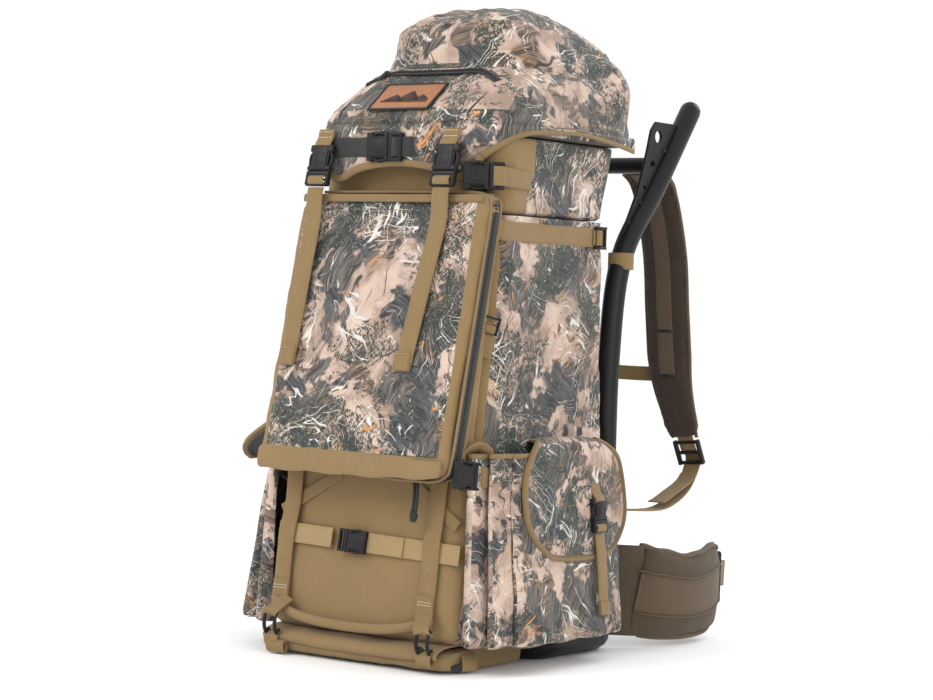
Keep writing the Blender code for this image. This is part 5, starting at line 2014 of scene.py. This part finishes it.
def drilled(shape, holes, name):
    """Cuts round holes along X by a Boolean, and returns the finished shape."""
    plate_mesh, drill_mesh = bpy.data.meshes.new(name + "_plate"), bpy.data.meshes.new(name + "_drills")
    shape.to_mesh(plate_mesh)
    shape.free()
    drills = []
    for x, y, z, radius in holes:
        drill = bmesh.new()
        bmesh.ops.create_cone(drill, cap_ends=True, segments=24, radius1=radius, radius2=radius, depth=0.02)
        bmesh.ops.rotate(drill, verts=drill.verts, cent=(0, 0, 0), matrix=Matrix.Rotation(pi / 2, 3, "Y"))
        bmesh.ops.translate(drill, verts=drill.verts, vec=(x, y, z))
        drills.append(drill)
    drills = merge(drills)
    drills.to_mesh(drill_mesh)
    drills.free()
    plate, drill = bpy.data.objects.new(name + "_plate", plate_mesh), bpy.data.objects.new(
        name + "_drills", drill_mesh
    )
    for item in (plate, drill):
        bpy.context.scene.collection.objects.link(item)
    cut = plate.modifiers.new("holes", "BOOLEAN")
    cut.operation, cut.solver, cut.object = "DIFFERENCE", "EXACT", drill
    bpy.context.view_layer.update()
    result = bmesh.new()
    result.from_object(plate, bpy.context.evaluated_depsgraph_get())
    bpy.data.objects.remove(plate)
    bpy.data.objects.remove(drill)
    return result


for name, side in (("right", 1), ("left", -1)):
    path = curve_through([(side * RAIL_X, y, z) for y, z in rail_points], 8)
    rail = tube(path, RAIL_RADIUS, 28, round_end=1)
    finish_piece(f"rail_{name}", rail, FRAME_PLASTIC, "pack", [f"frame_rail_{name}"], 60)
    holes = []
    for height, ahead, radius in ((0.682, 0.034, 0.0085), (0.645, 0.018, 0.0055), (0.612, 0.011, 0.0038)):
        holes.append((side * RAIL_X, rail_at(height) - RAIL_RADIUS * 1.25 - ahead, height, radius))
    plate = drilled(frame_plate(side * RAIL_X), holes, f"web_{name}")
    bolts = []
    for height in (0.563, 0.592, 0.664):
        bolt = bmesh.new()
        bmesh.ops.create_cone(bolt, cap_ends=True, segments=16, radius1=0.0042, radius2=0.003, depth=0.0024)
        bmesh.ops.rotate(
            bolt, verts=bolt.verts, cent=(0, 0, 0), matrix=Matrix.Rotation(side * pi / 2, 3, "Y")
        )
        bmesh.ops.translate(
            bolt, verts=bolt.verts,
            vec=(side * (RAIL_X + 0.003), rail_at(height) - RAIL_RADIUS * 1.25 - 0.005, height)
        )
        bolts.append(bolt)
    finish_piece(
        f"plate_{name}", merge([plate, *bolts]), FRAME_PLASTIC, "pack",
        [f"frame_web_{name}"], 40
    )
    wrap = []
    for step in range(25):
        angle = 2 * pi * step / 24
        wrap.append(
            Vector(
                (
                    side * RAIL_X + (RAIL_RADIUS + 0.0016) * cos(angle),
                    rail_at(0.512) + (RAIL_RADIUS + 0.0016) * sin(angle), 0.512
                )
            )
        )
    finish_piece(
        f"rail_wrap_{name}", strap(wrap, (0, 0, 1), 0.022, 0.002), TAN_WEBBING, "pack",
        sharp=60
    )
bar_y, bar_z = rail_at(BAG_TOP + 0.085), BAG_TOP + 0.085
reach = RAIL_X - RAIL_RADIUS + 0.002
bar = tube(
    [(-reach, bar_y, bar_z), (-0.05, bar_y, bar_z), (0.05, bar_y, bar_z), (reach, bar_y, bar_z)], 0.011, 24,
    side_hint=(0, 1, 0)
)
collars = [
    tube(
        [(side * (reach - 0.012), bar_y, bar_z), (side * reach, bar_y, bar_z)], 0.0135, 24,
        side_hint=(0, 1, 0)
    )
    for side in (1, -1)
]
finish_piece("crossbar", merge([bar, *collars]), FRAME_PLASTIC, "pack", ["crossbar_top"], 50)

base_low, base_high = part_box("frame_base")
cup_levels = (
    (0.0, 0.022, 0.03), (0.003, 0.012, 0.034), (0.009, 0.004, 0.04), (0.017, 0.0, 0.042),
    (0.026, 0.0, 0.042), (0.031, 0.001, 0.042), (BAG_FLOOR, 0.004, 0.04)
)
cup = loft(
    [
        rounded_ring(
            (base_low.x + inset, base_high.x - inset), (base_low.y + inset * 0.5, base_high.y - inset),
            corner, height, 7, 6
        )
        for height,
        inset, corner in cup_levels
    ]
)
ribs = [
    block(
        (side * 0.11 - 0.004, base_low.y + 0.02, 0.0), (side * 0.11 + 0.004, base_high.y - 0.02, 0.004),
        0.001, 1
    )
    for side in (-1, 1)
]
finish_piece("base_cup", merge([cup, *ribs]), FRAME_PLASTIC, "pack", ["frame_base"], 50)

# %% [markdown]
# ## Padding
# Foam pads swell most where nothing holds them. Each pad starts as a thin closed shape and
# is blown up by a cloth simulation, which crowns its faces and puckers its edges as sewn
# foam does. The simulation is applied, so what rides on the frame is a plain mesh.

# %% Blowing up a pad
SCRATCH_FRAMES = 20


def puff(shape, voxel=0.005, pressure=4.0, most=0.006, frames=SCRATCH_FRAMES):
    """Blows a closed shape up like a cushion and returns the new shape."""
    mesh = bpy.data.meshes.new("pad_start")
    shape.to_mesh(mesh)
    shape.free()
    pad = bpy.data.objects.new("pad_start", mesh)
    bpy.context.scene.collection.objects.link(pad)
    remesh = pad.modifiers.new("even", "REMESH")
    remesh.mode, remesh.voxel_size = "VOXEL", voxel
    even = bpy.data.meshes.new_from_object(pad.evaluated_get(bpy.context.evaluated_depsgraph_get()))
    pad.modifiers.clear()
    pad.data = even
    starts = [vert.co.copy() for vert in even.vertices]
    cloth = pad.modifiers.new("cloth", "CLOTH")
    cloth.settings.use_pressure = True
    cloth.settings.uniform_pressure_force = pressure
    cloth.settings.effector_weights.gravity = 0.0
    cloth.settings.quality = 5
    cloth.point_cache.frame_start, cloth.point_cache.frame_end = 1, frames
    for frame_number in range(1, frames + 1):
        bpy.context.scene.frame_set(frame_number)
    result = bmesh.new()
    result.from_object(pad, bpy.context.evaluated_depsgraph_get())
    for vert, start in zip(result.verts, starts):
        move = vert.co - start
        if move.length > most:
            vert.co = start + move.normalized() * most
    bpy.data.objects.remove(pad)
    bpy.context.scene.frame_set(1)
    bmesh.ops.smooth_vert(
        result, verts=result.verts, factor=0.4, use_axis_x=True, use_axis_y=True, use_axis_z=True
    )
    return result


EDGE_LOSS = 0.01  # the even mesh rounds off a pad's thin sewn edges
PAD_PROFILE = (-1.0, -0.985, -0.93, -0.8, -0.55, -0.28, 0.0, 0.28, 0.55, 0.8, 0.93, 0.985, 1.0)


def pad_loft(path, across, widths, thickness):
    """A pad along a path: crowned on both faces, thin at its sewn edges."""
    rings = []
    for point, tangent, width in zip(path, tangents(path), widths):
        side = Vector(across)
        out = tangent.cross(side).normalized()
        side = out.cross(tangent).normalized()
        upper, lower = [], []
        for share in PAD_PROFILE[1:-1]:
            half = thickness / 2 * (1 - abs(share) ** 3.4) ** 0.55
            base = point + side * share * width / 2
            upper.append(base + out * half)
            lower.append(base - out * half)
        rings.append(upper + lower[::-1])
    return loft(rings)


def mirrored_copy(shape, side):
    """The same shape on the other side of the pack."""
    copy = shape.copy()
    if side < 0:
        bmesh.ops.scale(copy, verts=copy.verts, vec=(-1, 1, 1))
        bmesh.ops.reverse_faces(copy, faces=copy.faces)
    return copy


# %% Shoulder straps
start_y = bar_y + 0.023
shoulder_route = [
    (0.084, start_y, 0.641), (0.088, start_y + 0.034, 0.615), (0.098, start_y + 0.052, 0.53),
    (0.11, start_y + 0.046, 0.44), (0.122, start_y + 0.044, 0.35), (0.133, start_y + 0.066, 0.275)
]
shoulder_path = curve_through(shoulder_route, 9)
count = len(shoulder_path) - 1
shoulder_widths = [
    0.066 * (1.0 - 0.34 * max(0.0, index / count - 0.72) / 0.28) * (0.55 + 0.45 * min(1.0, index / 3))
    * (1.0 if index < count - 1 else 0.86)
    for index in range(count + 1)
]
shoulder_pad = puff(
    pad_loft(shoulder_path, (1, 0, 0), [width + EDGE_LOSS for width in shoulder_widths], 0.0115), 0.004,
    3.0, 0.003
)
shoulder_tangents = tangents(shoulder_path)


def shoulder_side(share, lift_out, across_share):
    """Points along the strap at a share of its half width and a height off its middle."""
    points = []
    for point, tangent, width in zip(shoulder_path, shoulder_tangents, shoulder_widths):
        out = tangent.cross(Vector((1, 0, 0))).normalized()
        points.append(point + Vector((1, 0, 0)) * across_share * width / 2 * share + out * lift_out)
    return points


for name, side in (("right", 1), ("left", -1)):
    body = f"shoulder_{name}"
    finish_piece(
        f"shoulder_pad_{name}", mirrored_copy(shoulder_pad, side), HARNESS_MESH, body,
        [f"shoulder_strap_{name}"], 180, levels=1
    )
    piping = [
        tube(
            [(side * point.x, point.y, point.z) for point in shoulder_side(1.0, 0.0, sign)], 0.0026, 8,
            side_hint=(0, 1, 0)
        )
        for sign in (1.0, -1.0)
    ]
    tops = []
    for out in (0.0082, -0.0082):
        route = [Vector((side * point.x, point.y, point.z)) for point in shoulder_side(0.0, out, 0.0)]
        tops.append(strap(route[: int(count * 0.8)], (1, 0, 0), 0.024, 0.0016))
    finish_piece(f"shoulder_piping_{name}", merge(piping), BROWN_WEBBING, body, sharp=180)
    finish_piece(f"shoulder_webbing_{name}", merge(tops), BROWN_WEBBING, body, sharp=60)
    tacks = []
    for index in (int(count * 0.66), int(count * 0.78)):
        for out in (0.0093, -0.0093):
            points = shoulder_side(0.0, out, 0.0)
            for shift in (-0.0012, 0.0, 0.0012):
                middle = points[index] + shoulder_tangents[index] * shift
                tacks.append(
                    tube(
                        [
                            (side * (middle.x - 0.011), middle.y, middle.z),
                            (side * (middle.x + 0.011), middle.y, middle.z)
                        ],
                        0.0008, 6, side_hint=(0, 1, 0)
                    )
                )
    finish_piece(f"shoulder_tacks_{name}", merge(tacks), BLACK_THREAD, body, sharp=180)
    lock_low = Vector((side * 0.137, start_y + 0.08, 0.24))
    strap_end = Vector((side * shoulder_path[-1].x, shoulder_path[-1].y, shoulder_path[-1].z))
    lock_along = (lock_low - strap_end).normalized()
    lock_out = Vector((1, 0, 0)).cross(lock_along)
    lock = place(ladder(1.22), strap_end + lock_along * 0.024 - lock_out * 0.005, lock_along, lock_out)
    finish_piece(
        f"shoulder_lock_{name}", lock, BUCKLE_PLASTIC, body, [f"strap_lock_{name}"], 45
    )
    route = [
        (0.139, start_y + 0.078, 0.232), (0.141, start_y + 0.052, 0.205), (0.145, start_y + 0.012, 0.188),
        (0.149, start_y - 0.04, 0.18), (0.149, RAIL_Y + RAIL_RADIUS + 0.004, 0.184)
    ]
    webbing = curve_through([(side * x, y, z) for x, y, z in route], 7)
    webbing[0] = lock_low + lock_along * 0.004
    second = [
        point + Vector((0, 0.0, 0.003 + 0.01 * sin(pi * index / (len(webbing) - 1)) ** 2)) for index,
        point in enumerate(webbing)
    ][3:-8]
    nose = [
        strap_end - lock_along * 0.012, strap_end + lock_along * 0.002,
        lock_low - lock_along * 0.016 + lock_out * 0.001, lock_low - lock_along * 0.006 + lock_out * 0.007,
        lock_low + lock_along * 0.002 + lock_out * 0.004, lock_low + lock_along * 0.006
    ]
    parts = [
        strap(webbing, (1, 0, 0), WEBBING, 0.0021), strap(second, (1, 0, 0), WEBBING, 0.002),
        strap(curve_through(nose, 4), (1, 0, 0), WEBBING, 0.002)
    ]
    finish_piece(
        f"shoulder_tail_{name}", merge(parts), TAN_WEBBING, body, [f"lower_webbing_{name}"],
        60
    )
chest = start_y + 0.044 + 0.007 + LOOSE * 2
chest_seat = Vector((0.0, chest, 0.36))
buckle(
    "sternum_buckle",
    [("socket", "shoulder_left", "sternum_socket"), ("prongs", "sternum_prongs", "sternum_prongs")],
    chest_seat, (1, 0, 0), (0, 1, 0), 0.8
)
for name, body, near, far in (
    ("right", "sternum_prongs", 0.012, 0.128), ("left", "shoulder_left", -0.026, -0.128)
):
    route = [
        (near, chest + 0.0046, 0.36), (near + (far - near) * 0.35, chest + 0.005, 0.3595),
        (near + (far - near) * 0.7, chest + 0.004, 0.36), (far, chest + 0.003, 0.361)
    ]
    finish_piece(
        f"sternum_strap_{name}", strap(curve_through(route, 6), (0, 0, 1), 0.02, 0.002), TAN_WEBBING, body,
        [f"sternum_webbing_{name}"], 60
    )

# %% Hip belt
hip_hinge = Vector((BAG_HALF + 0.002, BAG_BACK + 0.058, 0.0))
hip_route = [
    hip_hinge + Vector(step)
    for step in (
        (0.006, 0.014, 0.077), (0.028, 0.042, 0.071), (0.044, 0.092, 0.066), (0.042, 0.148, 0.073),
        (0.02, 0.202, 0.086)
    )
]
hip_path = curve_through(hip_route, 9)
count = len(hip_path) - 1
hip_heights = curve_through([(height, 0.0, 0.0) for height in (0.128, 0.124, 0.116, 0.12, 0.098)], 9)
hip_widths = [
    entry.x * (1.0 - 0.28 * max(0.0, index / count - 0.86) / 0.14) for index,
    entry in enumerate(hip_heights)
]
hip_pad = puff(
    pad_loft(hip_path, (0, 0, 1), [width - 0.006 + EDGE_LOSS for width in hip_widths], 0.013), 0.005, 4.0,
    0.0035
)
hip_tangents = tangents(hip_path)


def hip_line(up_share, out, first=0, last=None):
    """Points along the wing at a share of its half height and a distance off its middle."""
    points = []
    for point, tangent, width in list(zip(hip_path, hip_tangents, hip_widths))[first:last]:
        away = Vector((tangent.y, -tangent.x, 0.0)).normalized()
        points.append(point + Vector((0, 0, 1)) * up_share * width / 2 + away * out)
    return points


for name, side in (("right", 1), ("left", -1)):
    body = f"hip_{name}"

    def flip(points):
        return [Vector((side * point.x, point.y, point.z)) for point in points]

    finish_piece(
        f"hip_pad_{name}", mirrored_copy(hip_pad, side), [DARK_CLOTH], body,
        [f"hip_wing_{name}"], 180, levels=1
    )
    upper = [
        point + Vector((0, 0, 0.001 * sin(index * 0.8))) for index,
        point in enumerate(hip_line(0.93, 0.0, 2, -3))
    ]
    lower = hip_line(-0.94, 0.0, 2, -3)
    piping = [
        tube(flip(upper), 0.0042, 8, side_hint=(0, 0, 1)), tube(flip(lower), 0.0032, 8, side_hint=(0, 0, 1))
    ]
    finish_piece(f"hip_piping_{name}", merge(piping), BROWN_WEBBING, body, sharp=180)
    begin, finish = Vector((0.132, RAIL_Y + 0.022, hip_path[0].z)), hip_path[3]

    def root_at(u, v):
        point = begin.lerp(finish, u)
        return Vector((side * (point.x + 0.004 * sin(pi * u)), point.y, point.z + (v - 0.5) * 0.12))

    root = finish_piece(
        f"hip_root_{name}", cloth_grid(10, 12, root_at), DARK_CLOTH, None, sharp=180,
        wall=0.008
    )
    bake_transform(root)
    bands = []
    for out in (0.0085,):
        route = flip(hip_line(-0.02, out, 1, -2))
        bands.append(strap(route, (0, 0, 1), 0.05, 0.003, cup=0.0))
        for edge in (-0.47, 0.42):
            bands.append(tube(flip(hip_line(edge, out + 0.0018, 1, -2)), 0.0013, 6, side_hint=(0, 0, 1)))
    finish_piece(f"hip_band_{name}", merge(bands), BROWN_WEBBING, body, sharp=60)
    tip = hip_line(0.0, 0.0)[-1]
    ends = []
    for up in (0.036, -0.036):
        end = Vector((tip.x + 0.002, tip.y - 0.01, tip.z + up))
        ends.append(
            tube(
                flip([end - Vector((0, 0.01, 0)), end, end + Vector((-0.002, 0.01, 0))]), 0.0058, 12,
                round_end=1
            )
        )
    slot_frame = hip_line(0.0, 0.0075)[-3]
    ends.append(
        tube(
            flip([slot_frame + Vector((0, 0, -0.032)), slot_frame + Vector((0, 0, 0.032))]), 0.0042, 12,
            round_end=1
        )
    )
    finish_piece(f"hip_tip_{name}", merge(ends), BUCKLE_PLASTIC, body, sharp=50)
    tail = flip(
        [
            tip + Vector((0.0045, -0.02, 0.0)), tip + Vector((0.006, -0.004, 0.001)),
            tip + Vector((0.006, 0.01, 0.001)), tip + Vector((0.004, 0.021, 0.0))
        ]
    )
    back_again = flip(
        [
            tip + Vector((0.004, 0.021, 0.0)), tip + Vector((-0.002, 0.017, 0.0)),
            tip + Vector((-0.006, -0.004, 0.0))
        ]
    )
    finish_piece(
        f"hip_webbing_{name}",
        merge(
            [
                strap(curve_through(tail, 4), (0, 0, 1), 0.036, 0.0024),
                strap(curve_through(back_again, 4), (0, 0, 1), 0.036, 0.0024)
            ]
        ),
        TAN_WEBBING, body, sharp=60
    )
    half = "prongs" if side > 0 else "socket"
    hip_seat = Vector((side * (0.172 - 0.03), hip_path[-1].y + 0.004, hip_path[-1].z - 0.004))
    if side < 0:
        hip_seat += Vector((0.04, 0.0, 0.0))
    shape = buckle_prongs(1.35) if side > 0 else buckle_socket(1.35)
    finish_piece(
        f"hip_{half}_half", place(shape, hip_seat, (1, 0, 0), (0, 1, 0)), BUCKLE_PLASTIC, f"hip_{half}",
        [f"hip_{half}"], 45
    )

# %% Lumbar pad and back panel
def soft_block(low, high, edge, cuts):
    """A padded slab, cut fine enough to crown and wrinkle."""
    shape = block(low, high, edge, 3)
    long_edges = [item for item in shape.edges if item.calc_length() > 0.02]
    bmesh.ops.subdivide_edges(shape, edges=long_edges, cuts=cuts, use_grid_fill=True)
    return shape


for node, name, fill in (("lumbar_pad", "lumbar_cushion", 0.9), ("back_panel", "back_mesh", 0.7)):
    low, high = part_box(node)
    low, high = low + Vector((0.002, 0.0016, 0.002)), high - Vector((0.002, 0.0026, 0.002))
    pad = puff(soft_block(low, high, 0.004, 6), 0.006, 3.0, 0.003)
    finish_piece(name, pad, HARNESS_MESH, "pack", [node], 180)
print("harness done", tally)
# %% [markdown]
# ## Which cloth is a single sheet
# The skirt, flaps, side pockets and shelf fold are each one cut of cloth.

# %% [markdown]
# ## The floor
# The floor is a plain pale sheet and isn't part of the pack.

# %% Floor and finish
floor_shape = bmesh.new()
bmesh.ops.create_grid(floor_shape, x_segments=1, y_segments=1, size=6.0)
floor_mesh = bpy.data.meshes.new("floor")
floor_shape.to_mesh(floor_mesh)
floor_shape.free()
floor = bpy.data.objects.new("floor", floor_mesh)
bpy.context.scene.collection.objects.link(floor)
floor_mesh.materials.append(Finish("floor_paper", (0.94, 0.94, 0.94), 0.9).material)

bpy.context.view_layer.update()
print("pieces", tally)
